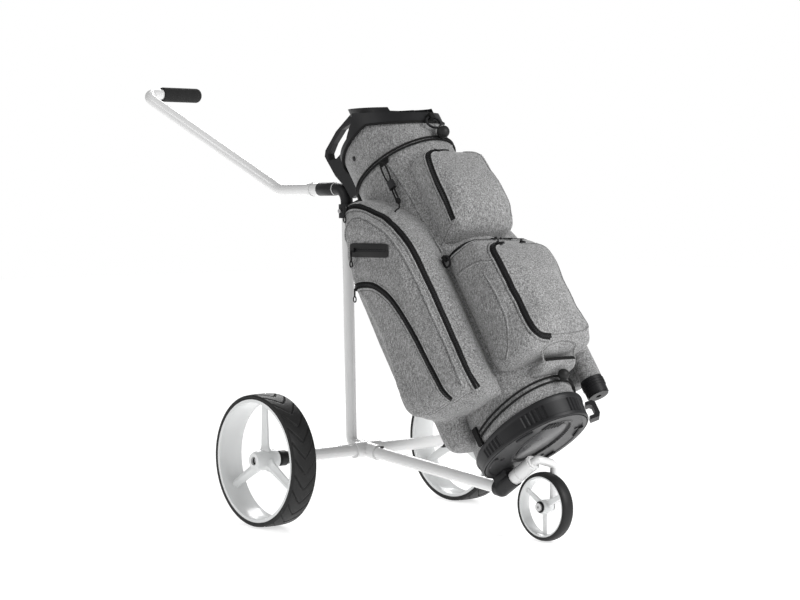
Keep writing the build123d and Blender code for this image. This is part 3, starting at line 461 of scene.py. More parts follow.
def low_profile(half, high, sink=0.001, flat=0.6, shoulder=0.6):
    """Section of a low bar with sloping shoulders, sunk a little into what it lies on."""
    right = [(half * flat, high), (half, high * shoulder), (half, -sink)]
    return [(-a, h) for a, h in reversed(right)] + right


TAPE_SINK = 0.0015


def strip_on(batch, skin, guide, width, thick):
    """A flat tape that follows the surface under it."""
    path, across, out = skin.lay(guide)
    profile = low_profile(width / 2, thick, TAPE_SINK, 0.8)
    verts = []
    for p, a, o in zip(path, across, out):
        for wide, high in profile:
            flat = p + a * wide
            verts.append(skin.snap(flat)[0].lerp(flat, 0.3) + o * high)
    batch.add(verts, bands(len(path), len(profile)))
    return path, across, out


def cord_on(batch, skin, guide, radius, lift, shift=0.0):
    """A round welt or cord that follows the surface, shifted sideways from the guide."""
    path, across, out = skin.lay(guide)
    line = [skin.snap(p + a * shift)[0] + o * lift for p, a, o in zip(path, across, out)]
    tube(batch, smooth(line), radius)


STITCH, STITCH_GAP, STITCH_R = 0.0034, 0.0016, 0.00045
TOOTH_WIDE, TOOTH_LONG, TOOTH_HIGH = 0.0016, 0.0008, 0.0009     # halves of one tooth's sides


def stitches(batch, skin, guide, shift):
    """A row of thread, stitch by stitch."""
    path, across, out = skin.lay(guide)
    line = [skin.snap(p + a * shift)[0] + o * STITCH_R for p, a, o in zip(path, across, out)]
    line = resample(line, STITCH + STITCH_GAP)
    for a, b in zip(line, line[1:]):
        end = a.lerp(b, STITCH / (STITCH + STITCH_GAP))
        tube(batch, [a, a.lerp(end, 0.5), end], STITCH_R, 4)


def teeth(batch, path, across, out, lift, pitch=0.0026):
    """Zip teeth: short bars that meet from alternate sides."""
    line = resample(path, pitch)
    for k, p in enumerate(line):
        i = min(len(path) - 1, round(k * (len(path) - 1) / max(1, len(line) - 1)))
        side = across[i] * (TOOTH_HIGH if k % 2 else -TOOTH_HIGH)
        along = out[i].cross(across[i])
        middle = p + side + out[i] * lift
        corner = [middle + across[i] * a * TOOTH_WIDE + along * b * TOOTH_LONG + out[i] * h * TOOTH_HIGH
                  for h in (-1, 1) for a, b in ((-1, -1), (1, -1), (1, 1), (-1, 1))]
        batch.add(corner,
                  [(0, 1, 2, 3), (7, 6, 5, 4), (0, 4, 5, 1), (1, 5, 6, 2), (2, 6, 7, 3), (3, 7, 4, 0)])


# ---------------------------------------------------------------- soft blocks and their padding
def rounded(points, radius):
    """A closed outline of (n, s) with round corners."""
    pts = [Vector(p) for p in points]
    result = []
    for i, p in enumerate(pts):
        a, b = pts[i - 1], pts[(i + 1) % len(pts)]
        reach = min(radius, (a - p).length * 0.45, (b - p).length * 0.45)
        start = p + (a - p).normalized() * reach
        end = p + (b - p).normalized() * reach
        for k in range(6):
            t = k / 5
            result.append(start * (1 - t) ** 2 + p * 2 * t * (1 - t) + end * t * t)
    return result


def inset(points, amount):
    """The outline moved towards its middle."""
    middle = sum((Vector(p) for p in points), Vector((0, 0))) / len(points)
    result = []
    for p in points:
        away = Vector(p) - middle
        result.append(middle + away * max(0.0, 1 - amount / max(away.length, 1.0)))
    return result


def block(mesh, outline, y_from, y_to, bevel, cuts=()):
    """A side outline as a block between two distances to the left, with round edges."""
    part = bmesh.new()
    verts = [part.verts.new(bag(p[0], y_from, p[1])) for p in outline]
    face = part.faces.new(verts)
    move = Vector((0, (y_to - y_from) * MM, 0))
    made = bmesh.ops.extrude_face_region(part, geom=[face])["geom"]
    bmesh.ops.translate(part, verts=[v for v in made if isinstance(v, bmesh.types.BMVert)], vec=move)
    caps = [f for f in part.faces if abs(f.normal.y) > 0.99 or len(f.verts) > 6]
    rims = [e for e in part.edges if len(e.link_faces) == 2 and sum(f in caps for f in e.link_faces) == 1]
    bmesh.ops.bevel(part, geom=rims, offset=bevel * MM, segments=4, profile=0.5, affect="EDGES")
    for place, direction in cuts:
        whole = part.verts[:] + part.edges[:] + part.faces[:]
        cut = bmesh.ops.bisect_plane(part, geom=whole, plane_co=place, plane_no=direction, clear_outer=True)
        edges = [e for e in cut["geom_cut"] if isinstance(e, bmesh.types.BMEdge)]
        bmesh.ops.holes_fill(part, edges=edges)
    bmesh.ops.recalc_face_normals(part, faces=part.faces)
    bmesh.ops.triangulate(part, faces=part.faces)
    held = bpy.data.meshes.new("block")
    part.to_mesh(held)
    part.free()
    mesh.from_mesh(held)
    bpy.data.meshes.remove(held)


def apply_modifiers(obj):
    graph = bpy.context.evaluated_depsgraph_get()
    graph.update()
    made = bpy.data.meshes.new_from_object(obj.evaluated_get(graph))
    obj.modifiers.clear()
    old = obj.data
    obj.data = made
    bpy.data.meshes.remove(old)


def voxel_object(name, build, voxel, soften):
    """Joins overlapping blocks into one even skin."""
    part = bmesh.new()
    build(part)
    mesh = bpy.data.meshes.new(name)
    part.to_mesh(mesh)
    part.free()
    obj = new_object(name, mesh)
    remesh = obj.modifiers.new("voxels", "REMESH")
    remesh.mode = "VOXEL"
    remesh.voxel_size = voxel
    relax = obj.modifiers.new("relax", "SMOOTH")
    relax.factor = 0.5
    relax.iterations = soften
    apply_modifiers(obj)
    return obj


def inside_body(p, grow):
    """Whether a point is within the fabric body grown by a few millimetres."""
    n, y, s = to_bag(p)
    a, b = body_half(s)
    return ((n - a) / (a + grow)) ** 2 + (y / (b + grow)) ** 2 < 1


CLOTH_FRAMES = 20


def add_cloth(obj, pressure, pinned):
    """Light cloth blown up from inside and held where pinned says so."""
    group = obj.vertex_groups.new(name="held")
    held = [v.index for v in obj.data.vertices if pinned(v.co)]
    group.add(held, 1.0, "REPLACE")
    cloth = obj.modifiers.new("padding", "CLOTH")
    settings = cloth.settings
    settings.quality = 5
    settings.mass = 0.25
    settings.tension_stiffness = 12
    settings.compression_stiffness = 12
    settings.shear_stiffness = 6
    settings.bending_stiffness = 0.6
    settings.use_pressure = True
    settings.uniform_pressure_force = pressure
    settings.vertex_group_mass = "held"
    settings.effector_weights.gravity = 0
    cloth.collision_settings.use_collision = False
    cloth.point_cache.frame_start = 1
    cloth.point_cache.frame_end = CLOTH_FRAMES


def pad_out(jobs, cap):
    """Swells the soft pieces together for a few frames and keeps the result, capped."""
    rest = {obj.name: [v.co.copy() for v in obj.data.vertices] for obj, _, _ in jobs}
    for obj, pressure, pinned in jobs:
        add_cloth(obj, pressure, pinned)
    scene = bpy.context.scene
    for number in range(1, CLOTH_FRAMES + 1):
        scene.frame_set(number)
    graph = bpy.context.evaluated_depsgraph_get()
    for obj, _, _ in jobs:
        swollen = [v.co.copy() for v in obj.evaluated_get(graph).data.vertices]
        obj.modifiers.clear()
        obj.vertex_groups.clear()
        for vert, was, now in zip(obj.data.vertices, rest[obj.name], swollen):
            move = now - was
            if move.length > cap:
                move = move.normalized() * cap
            vert.co = was + move
    scene.frame_set(1)


def creases(obj, depth, size, stretch, seed):
    """Shallow folds and dents, longer along the bag than across it."""
    normals = [v.normal.copy() for v in obj.data.vertices]
    shift = Vector((seed * 3.1, seed * 1.7, seed * 2.3))
    for vert, normal in zip(obj.data.vertices, normals):
        n, y, s = to_bag(vert.co)
        place = Vector((n, y, s / stretch)) / size + shift
        value = noise.fractal(place, 0.8, 2.1, 3)
        vert.co += normal * (value * depth)


def dress(obj, node):
    """Gives a finished soft piece its material and body, and hides the CAD node it stands in for."""
    relax = obj.modifiers.new("relax", "SMOOTH")
    relax.factor = 0.5
    relax.iterations = 2
    finer = obj.modifiers.new("finer", "SUBSURF")
    finer.levels = 1
    finer.render_levels = 1
    apply_modifiers(obj)
    obj.data.materials.clear()
    obj.data.materials.append(MATERIALS["fabric_grey"])
    obj.data.shade_smooth()
    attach(obj, "cart")
    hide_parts(node)


# ---------------------------------------------------------------- camera, light and floor
CAMERA_AT = (3.5047, -2.8759, 0.6928)
CAMERA_TURN = (139.30, -2.66, -0.39)      # yaw, pitch and roll in degrees
LENS, SENSOR = 89.4, 36.0
LIGHTS = [("key", (3.2, 0.6, 1.9), (0.3, 0, 0.5), 95),
          ("side", (-0.6, -3.2, 2.4), (0.0, 0, 0.5), 22),
          ("back", (-2.4, 2.0, 2.4), (0.0, 0, 0.6), 45)]
LIGHT_SIZE, FLOOR_REACH = 1.6, 14.0


def make_camera():
    yaw, pitch, roll = [math.radians(a) for a in CAMERA_TURN]
    ahead = Vector((math.cos(yaw) * math.cos(pitch), math.sin(yaw) * math.cos(pitch), math.sin(pitch)))
    right = ahead.cross(Vector((0, 0, 1))).normalized()
    up = right.cross(ahead)
    turned = right * math.cos(roll) + up * math.sin(roll)
    upright = up * math.cos(roll) - right * math.sin(roll)
    data = bpy.data.cameras.new("camera")
    data.lens = LENS
    data.sensor_width = SENSOR
    camera = new_object("camera", data)
    place = Matrix((turned, upright, -ahead)).transposed().to_4x4()
    place.translation = Vector(CAMERA_AT)
    camera.matrix_world = place
    bpy.context.scene.camera = camera


def area_light(name, place, aim, power):
    data = bpy.data.lights.new(name, "AREA")
    data.shape = "SQUARE"
    data.size = LIGHT_SIZE
    data.energy = power
    light = new_object(name, data)
    light.location = place
    light.rotation_euler = (Vector(aim) - Vector(place)).to_track_quat("-Z", "Y").to_euler()


def make_stage():
    scene = bpy.context.scene
    world = bpy.data.worlds.new("studio")
    scene.world = world
    world.use_nodes = True
    nodes, links = world.node_tree.nodes, world.node_tree.links
    soft = nodes["Background"]
    set_inputs(soft, {"Color": (1, 1, 1, 1), "Strength": 0.4})
    seen = nodes.new("ShaderNodeBackground")
    set_inputs(seen, {"Color": (1, 1, 1, 1), "Strength": 1.0})
    rays = nodes.new("ShaderNodeLightPath")
    mix = nodes.new("ShaderNodeMixShader")
    links.new(rays.outputs["Is Camera Ray"], mix.inputs["Fac"])
    links.new(soft.outputs["Background"], mix.inputs[1])
    links.new(seen.outputs["Background"], mix.inputs[2])
    links.new(mix.outputs["Shader"], nodes["World Output"].inputs["Surface"])
    scene.view_settings.view_transform = "Standard"

    mesh = bpy.data.meshes.new("floor")
    corners = [(x * FLOOR_REACH, y * FLOOR_REACH, 0) for x, y in ((-1, -1), (1, -1), (1, 1), (-1, 1))]
    mesh.from_pydata(corners, [], [(0, 1, 2, 3)])
    floor = new_object("floor", mesh)
    look = Look("pale_floor")
    set_inputs(look.shader, {"Base Color": (0.92, 0.92, 0.92, 1), "Roughness": 0.1,
                             "Specular IOR Level": 0.3, "Emission Color": (1, 1, 1, 1),
                             "Emission Strength": 0.62})
    mesh.materials.append(look.material)

    for light in LIGHTS:
        area_light(*light)


make_camera()
make_stage()

# ---------------------------------------------------------------- bag body
CUFF_EDGE = [(-40, 777), (170, 794), (290, 724)]      # lower edge of the cuff, as n, s


def boot_top(turn):
    """Height of the boot's top edge, higher at the front."""
    return 36 + 14 * math.cos(turn)


def edge_at(edge, n):
    """s of an edge at depth n."""
    for (n0, s0), (n1, s1) in zip(edge, edge[1:]):
        if n <= n1:
            return s0 + (s1 - s0) * (n - n0) / (n1 - n0)
    return edge[-1][1]


def make_shell():
    """The fabric tube: an oval sleeve with soft dents, open at both ends, drawn in behind the boot."""
    around, rows, foot, wall = 144, 96, 18, 3.0
    batch = Batch("bag_shell", "fabric_grey")
    skins = []
    for grow in (0.0, -wall):
        rings = []
        for i in range(rows + 1):
            ring = []
            for turn in turns(around):
                top = edge_at(CUFF_EDGE, body_half(CUFF_LEVEL)[0] * (1 + math.cos(turn))) + 6
                s = foot + (top - foot) * i / rows
                a, b = body_half(s)
                fade = min(1.0, (s - foot) / 60, (top - s) / 60)
                dent = noise.fractal(Vector((turn * 2, s / 90, 0.3)), 0.9, 2.0, 3) * 2.2 - 1.0
                tucked = max(0.0, min(1.0, (boot_top(turn) + 6 - s) / 6))
                out = grow + dent * fade - 5.5 * tucked
                ring.append(bag(a + (a + out) * math.cos(turn), (b + out) * math.sin(turn), s))
            rings.append(ring)
        skins.append(rings)
    rings = skins[0] + skins[1][::-1]
    batch.add([p for ring in rings for p in ring], bands(len(rings), around, closed=True))
    return batch.make(sharp=70, instead_of=["bag_body"])


shell = make_shell()

# ---------------------------------------------------------------- pockets
POCKET_OUTER = [(4, 150), (2, 500), (18, 584), (56, 660), (118, 642), (178, 565), (206, 500), (220, 430),
                (222, 90), (70, 108)]
POCKET_PANEL = [(4, 150), (2, 480), (26, 560), (66, 606), (118, 612), (166, 550), (194, 492), (208, 425),
                (210, 100), (80, 116)]
LOWER_GUSSET = [(10, 150), (10, 78), (26, 52), (84, 42), (84, 120), (40, 150)]
UPPER_FRONT = [(204, 668), (262, 664), (284, 648), (296, 600), (298, 482), (282, 444), (204, 436)]
UPPER_PANEL = [(262, 640), (298, 596), (308, 560), (308, 490), (298, 474), (262, 470)]
LOWER_FRONT = [(204, 428), (262, 428), (300, 412), (322, 380), (330, 335), (334, 148), (322, 128), (204, 130)]
LOWER_PANEL = [(300, 395), (336, 378), (346, 335), (348, 160), (338, 140), (300, 138)]
FLAP = [(240, 122), (304, 121), (300, 104), (284, 98), (240, 98)]
VOXEL = 0.006


def side_blocks(side):
    """side is -1 for the right-hand pocket and 1 for the left-hand one."""
    valley = bag(200, side * 92, 300)
    lean_out = (N_AXIS * 116 - Vector((0, side, 0)) * 24).normalized()

    def build(part):
        block(part, rounded(inset(POCKET_OUTER, 3), 40), side * 40, side * 163, 16, [(valley, lean_out)])
        block(part, rounded(inset(POCKET_PANEL, 4), 50), side * 120, side * 186, 12)
        block(part, rounded(LOWER_GUSSET, 24), side * 50, side * 128, 18)
    return build


def front_blocks(outline, panel, half):
    def build(part):
        block(part, rounded(inset(outline, 4), 30), -half + 4, half - 4, 20)
        block(part, rounded(inset(panel, 4), 24), -half + 15, half - 15, 14)
    return build


def flap_blocks(part):
    block(part, rounded(FLAP, 10), -48, 48, 6)


pocket_right = voxel_object("pocket_right", side_blocks(-1), VOXEL, 6)
pocket_left = voxel_object("pocket_left", side_blocks(1), VOXEL, 6)
front_upper = voxel_object("front_pocket_upper", front_blocks(UPPER_FRONT, UPPER_PANEL, 86), VOXEL, 6)
front_lower = voxel_object("front_pocket_lower", front_blocks(LOWER_FRONT, LOWER_PANEL, 99), VOXEL, 6)
front_flap = voxel_object("front_flap", flap_blocks, 0.004, 3)

PRESSURES = [(pocket_right, 3.0), (pocket_left, 3.0), (front_upper, 3.5), (front_lower, 3.5)]
jobs = [(pocket, pressure, lambda p: inside_body(p, 6)) for pocket, pressure in PRESSURES]
pad_out(jobs + [(front_flap, 2.0, lambda p: inside_body(p, 10))], 0.007)


PURSE_Z, PURSE_N0, PURSE_N1 = 603.0, 58.0, 162.0      # its level, and its ends along n


def flatten_behind_purse(obj):
    """Keeps the padding behind the small level pocket's plate."""
    for vert in obj.data.vertices:
        n, y, s = to_bag(vert.co)
        near = max(abs(vert.co.z - PURSE_Z * MM) - 0.022, (24 - n) * MM, (n - 176) * MM, 0.0)
        vert.co.y = max(vert.co.y, -0.1868 - near * 0.35)


creases(pocket_right, 0.0032, 60, 3.0, 1)
creases(pocket_left, 0.0032, 60, 3.0, 2)
creases(front_upper, 0.0018, 70, 1.5, 3)
creases(front_lower, 0.0018, 70, 1.5, 4)
flatten_behind_purse(pocket_right)
dress(pocket_right, "side_pocket_right")
dress(pocket_left, "side_pocket_left")
dress(front_upper, "upper_front_pocket")
dress(front_lower, "lower_front_pocket")
dress(front_flap, "flap_pocket")

# ---------------------------------------------------------------- skins to lay trims on
skin = Skin([shell, pocket_right, pocket_left, front_upper, front_lower, front_flap])
right_skin = Skin([pocket_right])
left_skin = Skin([pocket_left])
upper_skin = Skin([front_upper])
lower_skin = Skin([front_lower])
shell_skin = Skin([shell])

tapes = Batch("zip_tapes", "webbing")
zip_teeth = Batch("zip_teeth", "moulded_black", material=ZIP_TEETH)
welts = Batch("fabric_welts", "fabric_grey", material=WELT_HIGHLIGHT_FABRIC)
thread = Batch("stitching", "webbing", material=THREAD_AND_SEAM_SHADE)
# A black strip for the flap pocket's mouth: painted shade in the opening.
mouth_shade = Batch("flap_mouth_painted_shade", "webbing")


def guide(points, side=1):
    """Guide points in the bag's axes, mirrored to the left when side is -1."""
    return [bag(n, y * side, s) for n, y, s in points]


def at_y(y, points):
    """Guide points at one distance to the left, from n and s."""
    return [(n, y, s) for n, s in points]


TAPE_T, COIL_LIFT, COIL_R, TEETH_LIFT = 0.0012, 0.0013, 0.0016, 0.0028
WELT_R, WELT_LIFT, WELT_GAP = 0.0017, 0.0004, 0.0012
ZIP_STITCH_OFF, SEAM_STITCH_OFF = 0.0042, 0.003


def add_zip(on, points, side=1, width=14.0):
    """A zip: black tape, a row of teeth on a low coil, and the fabric turned under along it."""
    line = guide(points, side)
    path, across, out = strip_on(tapes, on, line, width * MM, TAPE_T)
    coil = [p + o * COIL_LIFT for p, o in zip(path, out)]
    tube(zip_teeth, coil, COIL_R, 6)
    teeth(zip_teeth, path, across, out, TEETH_LIFT)
    edge = width / 2 * MM + WELT_GAP
    for shift in (edge, -edge):
        cord_on(welts, on, line, WELT_R, WELT_LIFT, shift)
    stitches(thread, on, line, edge + ZIP_STITCH_OFF)


def add_seam(on, points, side=1, radius=1.5):
    """A corded seam with a row of stitches along it."""
    line = guide(points, side)
    cord_on(welts, on, line, radius * MM, 0.0003)
    stitches(thread, on, line, radius * MM + SEAM_STITCH_OFF)


# side pockets
UPPER_ZIP = at_y(-166,
                 [(64, 640), (86, 636), (112, 622), (146, 592), (176, 552), (198, 500), (211, 430),
                  (216, 330), (217, 230), (216, 108)])
LOWER_ZIP = at_y(-190,
                 [(20, 470), (50, 460), (86, 436), (112, 398), (127, 354), (136, 290), (142, 210),
                  (149, 114)])
PANEL_SEAM = at_y(-186,
                  [(52, 570), (74, 586), (104, 596), (140, 572), (172, 524), (190, 470), (198, 410),
                   (200, 320), (200, 220), (199, 120)])
HEM = [(60, -178, 130), (100, -182, 118), (150, -182, 108), (200, -176, 104)]
add_zip(right_skin, UPPER_ZIP)
add_zip(right_skin, LOWER_ZIP)
add_seam(right_skin, PANEL_SEAM)
add_seam(right_skin, HEM)
add_zip(left_skin, LOWER_ZIP, -1)
add_seam(left_skin, PANEL_SEAM[:6], -1)
add_seam(left_skin, HEM, -1)

# trunk seams and the piping beside the side pockets
TRUNK_SEAM = [(180, -104, 690), (196, -100, 600), (204, -96, 520), (210, -94, 440)]
for side in (1, -1):
    add_seam(shell_skin, TRUNK_SEAM, side, 1.8)
add_seam(shell_skin, [(2, 0, 120), (2, 0, 300), (1, 0, 480), (0, 0, 660)])

# front pockets
UPPER_SIDE = [(284, -30, 662), (284, -56, 660), (280, -80, 646), (276, -88, 620), (274, -88, 570),
              (274, -88, 520), (270, -88, 478)]
UPPER_RIGHT = [(286, 30, 662), (290, 58, 656), (296, 76, 636), (302, 78, 600), (306, 78, 550), (304, 78, 500),
               (296, 76, 470)]
UPPER_FOOT = [(262, -86, 470), (236, -88, 462), (214, -92, 452)]
add_zip(upper_skin, UPPER_SIDE)
add_seam(upper_skin, UPPER_RIGHT)
add_seam(skin, UPPER_FOOT)
add_zip(upper_skin, UPPER_SIDE[2:], -1)

LOWER_TOP = [(206, -98, 424), (236, -98, 424), (268, -94, 422), (290, -70, 416), (298, -40, 412),
             (298, 0, 411), (298, 40, 412), (290, 70, 416)]
LOWER_PANEL_ZIP = [(326, -30, 388), (328, -60, 384), (334, -82, 364), (340, -88, 330), (344, -88, 270),
                   (345, -88, 210), (344, -84, 172), (342, -66, 150), (341, -36, 144)]
LOWER_RIGHT = [(n, -y, s) for n, y, s in LOWER_PANEL_ZIP[:7]]
LOWER_RIGHT += [(342, 60, 150), (341, 0, 143), (341, -36, 144)]
GUSSET_SEAM = [(330, -96, 336), (300, -98, 352), (262, -98, 362), (222, -98, 366)]
GUSSET_DROP = [(300, -98, 330), (306, -98, 270), (302, -98, 210), (280, -98, 168), (252, -96, 146)]
add_zip(lower_skin, LOWER_TOP, 1, 11.0)
add_zip(lower_skin, LOWER_PANEL_ZIP)
add_seam(lower_skin, LOWER_RIGHT)
for side in (1, -1):
    add_seam(lower_skin, GUSSET_SEAM, side)
    add_seam(lower_skin, GUSSET_DROP, side)

# flap pocket: an arched seam over its mouth, with a black strip of painted shade in the mouth
FLAP_ARC = [(306, -52, 116), (318, -48, 126), (330, -34, 134), (334, 0, 138), (330, 34, 134), (318, 48, 126),
            (306, 52, 116)]
add_seam(skin, FLAP_ARC)
FLAP_MOUTH = [(307, -44, 117), (308, -20, 118), (308, 0, 118), (308, 20, 118), (307, 44, 117)]
strip_on(mouth_shade, Skin([front_flap]), guide(FLAP_MOUTH), 0.009, 0.0016)


# ---------------------------------------------------------------- cuff, straps, level pocket plate and rivets
def strap_path(s_at, level_s, grow, t_end):
    """An open line round the front of the bag, at the height s_at gives for each n."""
    a, b = body_half(level_s)
    points = []
    for k in range(121):
        t = t_end * (k / 60 - 1)
        n = a + (a + grow) * math.cos(t)
        points.append(bag(n, (b + grow) * math.sin(t), s_at(n)))
    return points


def ring_line(edge, grow):
    """A closed line round the bag on an edge given as n, s."""
    a, b = body_half(CUFF_LEVEL)
    points = []
    for t in turns(160):
        n = a + (a + grow) * math.cos(t)
        points.append(bag(n, (b + grow) * math.sin(t), edge_at(edge, n)))
    return points


cuff_cords = Batch("cuff_cords", "webbing")
tube(cuff_cords, smooth(ring_line(CUFF_EDGE, 5.5), True), 0.0028, 8, closed=True)

ELASTIC_R = 0.00225
UPPER_END = math.pi - 0.63
LOWER_END = math.radians(100)
LOWER_SLOPE = math.tan(math.radians(11))
straps = Batch("upper_elastics", "elastic")
for s_cord in (699.6, 706.4):
    tube(straps, strap_path(lambda n: s_cord, 703, 3.0, UPPER_END), ELASTIC_R, 10)
straps.make(instead_of=["upper_strap"])

low_straps = Batch("lower_elastics", "elastic")
for rise in (-2.5, 8.5):
    strap = strap_path(lambda n: 56 + rise + (n - 134) * LOWER_SLOPE, 60, 3.6, LOWER_END)
    tube(low_straps, strap, ELASTIC_R, 10)
low_straps.make(instead_of=["lower_strap"])


def plate(batch, outline, out, thick, bevel):
    """A flat plate with a rounded edge, from its outline and the direction it faces."""
    middle = sum(outline, Vector((0, 0, 0))) / len(outline)
    rings = [(0.0, 0.0), (0.0, thick - bevel), (bevel * 0.3, thick - bevel * 0.3), (bevel, thick)]
    verts = []
    for pull_in, rise in rings:
        for p in outline:
            away = p - middle
            verts.append(middle + away * (1 - pull_in / max(away.length, 0.001)) + out * rise)
    batch.add(verts, bands(len(rings), len(outline)))


def disc(centre, a_dir, b_dir, a, b, count=24, power=1.0):
    """An oval outline. A low power squares it off."""
    points = []
    for t in turns(count):
        c, d = math.cos(t), math.sin(t)
        points.append(centre + a_dir * a * math.copysign(abs(c) ** power, c)
                      + b_dir * b * math.copysign(abs(d) ** power, d))
    return points


RIGHT = Vector((0, -1, 0))
FORWARD = Vector((1, 0, 0))
UP = Vector((0, 0, 1))

# the small level pocket's plate on the right-hand panel, with rounded ends, and its zip groove
purse = Batch("purse_plate", "rubber_foot")
left_end = bag(PURSE_N0, -188, level(PURSE_Z, PURSE_N0))
right_end = bag(PURSE_N1, -188, level(PURSE_Z, PURSE_N1))
purse_mid = (left_end + right_end) / 2
purse_half = (right_end - left_end).length / 2
plate(purse, disc(purse_mid, FORWARD, UP, purse_half, 0.015, 64, 0.22), RIGHT, 0.0018, 0.0012)
purse.make(instead_of=["purse_panel"])
purse_row = Batch("purse_teeth", "moulded_black", material=ZIP_TEETH)
row = [left_end.lerp(right_end, 0.05 + 0.9 * k / 60) + RIGHT * 0.0014 for k in range(61)]
teeth(purse_row, row, [UP] * 61, [RIGHT] * 61, 0.0006, 0.002)
tube(purse_row, row, 0.0011, 6)
purse_row.make()

# rivets and small tabs under the rim
rivets = Batch("cuff_rivets", "moulded_black")
BUTTON_T = 0.003


def button_on(batch, on, point, radius):
    """A low domed button on the surface nearest to a point."""
    place, normal = on.snap(point)
    a_dir = normal.orthogonal().normalized()
    outline = disc(place - normal * 0.0005, a_dir, normal.cross(a_dir), radius, radius, 20)
    plate(batch, outline, normal, BUTTON_T, BUTTON_T * 0.6)


for side in (1, -1):
    button_on(rivets, shell_skin, bag(96, -110 * side, 756), 0.0055)
    button_on(rivets, shell_skin, bag(12, -52 * side, 706), 0.0045)
rivets.make()

# ---------------------------------------------------------------- bungee loop and its cord
loop_cord = Batch("bungee_loop", "elastic")
LOOP_Y = -109.5
loop_points = [(168, LOOP_Y, 600), (167.8, LOOP_Y, 634), (164, LOOP_Y, 660), (165, LOOP_Y, 684),
               (172, LOOP_Y, 692), (179, LOOP_Y, 684), (180, LOOP_Y, 660), (176.2, LOOP_Y, 634),
               (176, LOOP_Y, 600)]
tube(loop_cord, spline(guide(loop_points), 0.003), 0.0019, 10)
tube(loop_cord, [bag(172, LOOP_Y, 598), bag(172, LOOP_Y - 0.5, 592), bag(172.5, LOOP_Y - 1, 586)],
     [0.0052, 0.0062, 0.003], 12)
loop_cord.make(sharp=60, instead_of=["bungee_cord"])
tab = Batch("bungee_tab", "webbing")
strip_on(tab, shell_skin, guide([(160, -104, 694), (172, -105, 697), (184, -103, 694)]), 0.013, 0.0034)
tab.make()

TAIL_LENGTH, TAIL_DIAMETER = 0.056, 0.0034
TAIL = [(172, -110.5, 588), (172.5, -112, 578), (176, -122, 570), (184, -138, 562), (190, -150, 553)]
curve = bpy.data.curves.new("bungee_tail", "CURVE")
curve.dimensions = "3D"
curve.bevel_depth = TAIL_DIAMETER / 2
curve.bevel_resolution = 3
curve.use_fill_caps = True
line = curve.splines.new("NURBS")
line.points.add(len(TAIL) - 1)
for point, place in zip(line.points, guide(TAIL)):
    point.co = (*place, 1)
line.order_u = 3
line.use_endpoint_u = True
line.resolution_u = 12
tail = new_object("bungee_tail", curve)
curve.materials.append(MATERIALS["elastic"])
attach(tail, "cart")
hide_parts("bungee_cord")

for batch in (tapes, zip_teeth, welts, thread, mouth_shade, cuff_cords):
    batch.make()
for node in ("side_zip_tapes", "front_zip_tapes"):
    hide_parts(node)

# ---------------------------------------------------------------- umbrella sleeve
SLEEVE_N, SLEEVE_Y, SLEEVE_FOOT, SLEEVE_LENGTH = 240, 130, 92, 328
SLEEVE_R, SLEEVE_BORE_R = 23.6, 21.9
# the flange that joins the sleeve to the bag, as n, y
FLANGE_SECTION = [(232, 109), (248, 109), (248, 96), (232, 96)]
sleeve = Batch("umbrella_tube", "fabric_grey")


def sleeve_ring(up, radius):
    """A dented ring of the sleeve, up from 0 at its foot to 1 at its top."""
    s = SLEEVE_FOOT + SLEEVE_LENGTH * up
    ring = []
    for t in turns(64):
        r = radius + noise.noise(Vector((math.cos(t), math.sin(t), s / 60))) * 1.4
        ring.append(bag(SLEEVE_N + r * math.cos(t), SLEEVE_Y + r * math.sin(t), s))
    return ring


outer_rings = [sleeve_ring(k / 40, SLEEVE_R) for k in range(41)]
inner_rings = [sleeve_ring(k / 40, SLEEVE_BORE_R) for k in range(40, -1, -1)]
stack(sleeve, outer_rings + inner_rings + [outer_rings[0]])
stack(sleeve, [[bag(n, y, 142 + 246 * k / 20) for n, y in FLANGE_SECTION] for k in range(21)], True)
sleeve.make(sharp=50, instead_of=["umbrella_sleeve"])

# ---------------------------------------------------------------- boot and base
ROUND = 288
RIB_DEPTH = 2.6
RIBBED = (5, 6)        # the rows of the boot's outline that the grooves cut
BASE_MID, WINDOW_MID = 138.0, 158.0
WINDOW_LONG, WINDOW_WIDE = 84.0, 46.0      # halves of the window's sides


def boot_point(t, rise, grow):
    """A point on the boot: t round the bag from its front, rise from 0 at the foot to 1 at the top edge."""
    s = boot_top(t) * rise
    spread = min(1.0, s / 60)
    a = BASE_MID + 6 * spread + grow
    b = 104 + 8 * spread + grow
    mid = BASE_MID + (body_half(30)[0] - BASE_MID) * spread
    return bag(mid + a * math.cos(t), b * math.sin(t), s)


def rib(t):
    """Depth of the vertical grooves: seven groups of five round the boot."""
    phase = (t / (2 * math.pi) * 7 + 0.1) % 1.0
    if phase > 0.5:
        return 0.0
    wave = (phase * 2 * 5) % 1.0
    return 1.0 if 0.2 < wave < 0.72 else 0.0


boot = Batch("boot_shell", "moulded_black")
boot_rings = []
OUTSIDE = [(0.00, -3.0), (0.02, -0.6), (0.05, 0.4), (0.16, 0.6), (0.18, -0.1), (0.2, -0.1), (0.74, -0.1),
           (0.76, -0.1), (0.8, 0.4), (0.86, 1.2), (0.95, 1.2), (1.0, 0.4)]
for number, (rise, grow) in enumerate(OUTSIDE):
    ring = []
    for t in turns(ROUND):
        depth = RIB_DEPTH * rib(t) if number in RIBBED else 0.0
        ring.append(boot_point(t, rise, grow - depth))
    boot_rings.append(ring)
inside = []
for rise in (1.0, 0.6, 0.25):
    inside.append([boot_point(t, rise, -5.5) for t in turns(ROUND)])
stack(boot, boot_rings + inside)
boot.make(sharp=30, instead_of=["boot"])

base = Batch("base_floor", "base_grey")
pane_grey = plastic("grey_window", (0.06, 0.06, 0.062), 0.3, 0.15)
base_window = Batch("base_window", "base_grey", material=pane_grey)


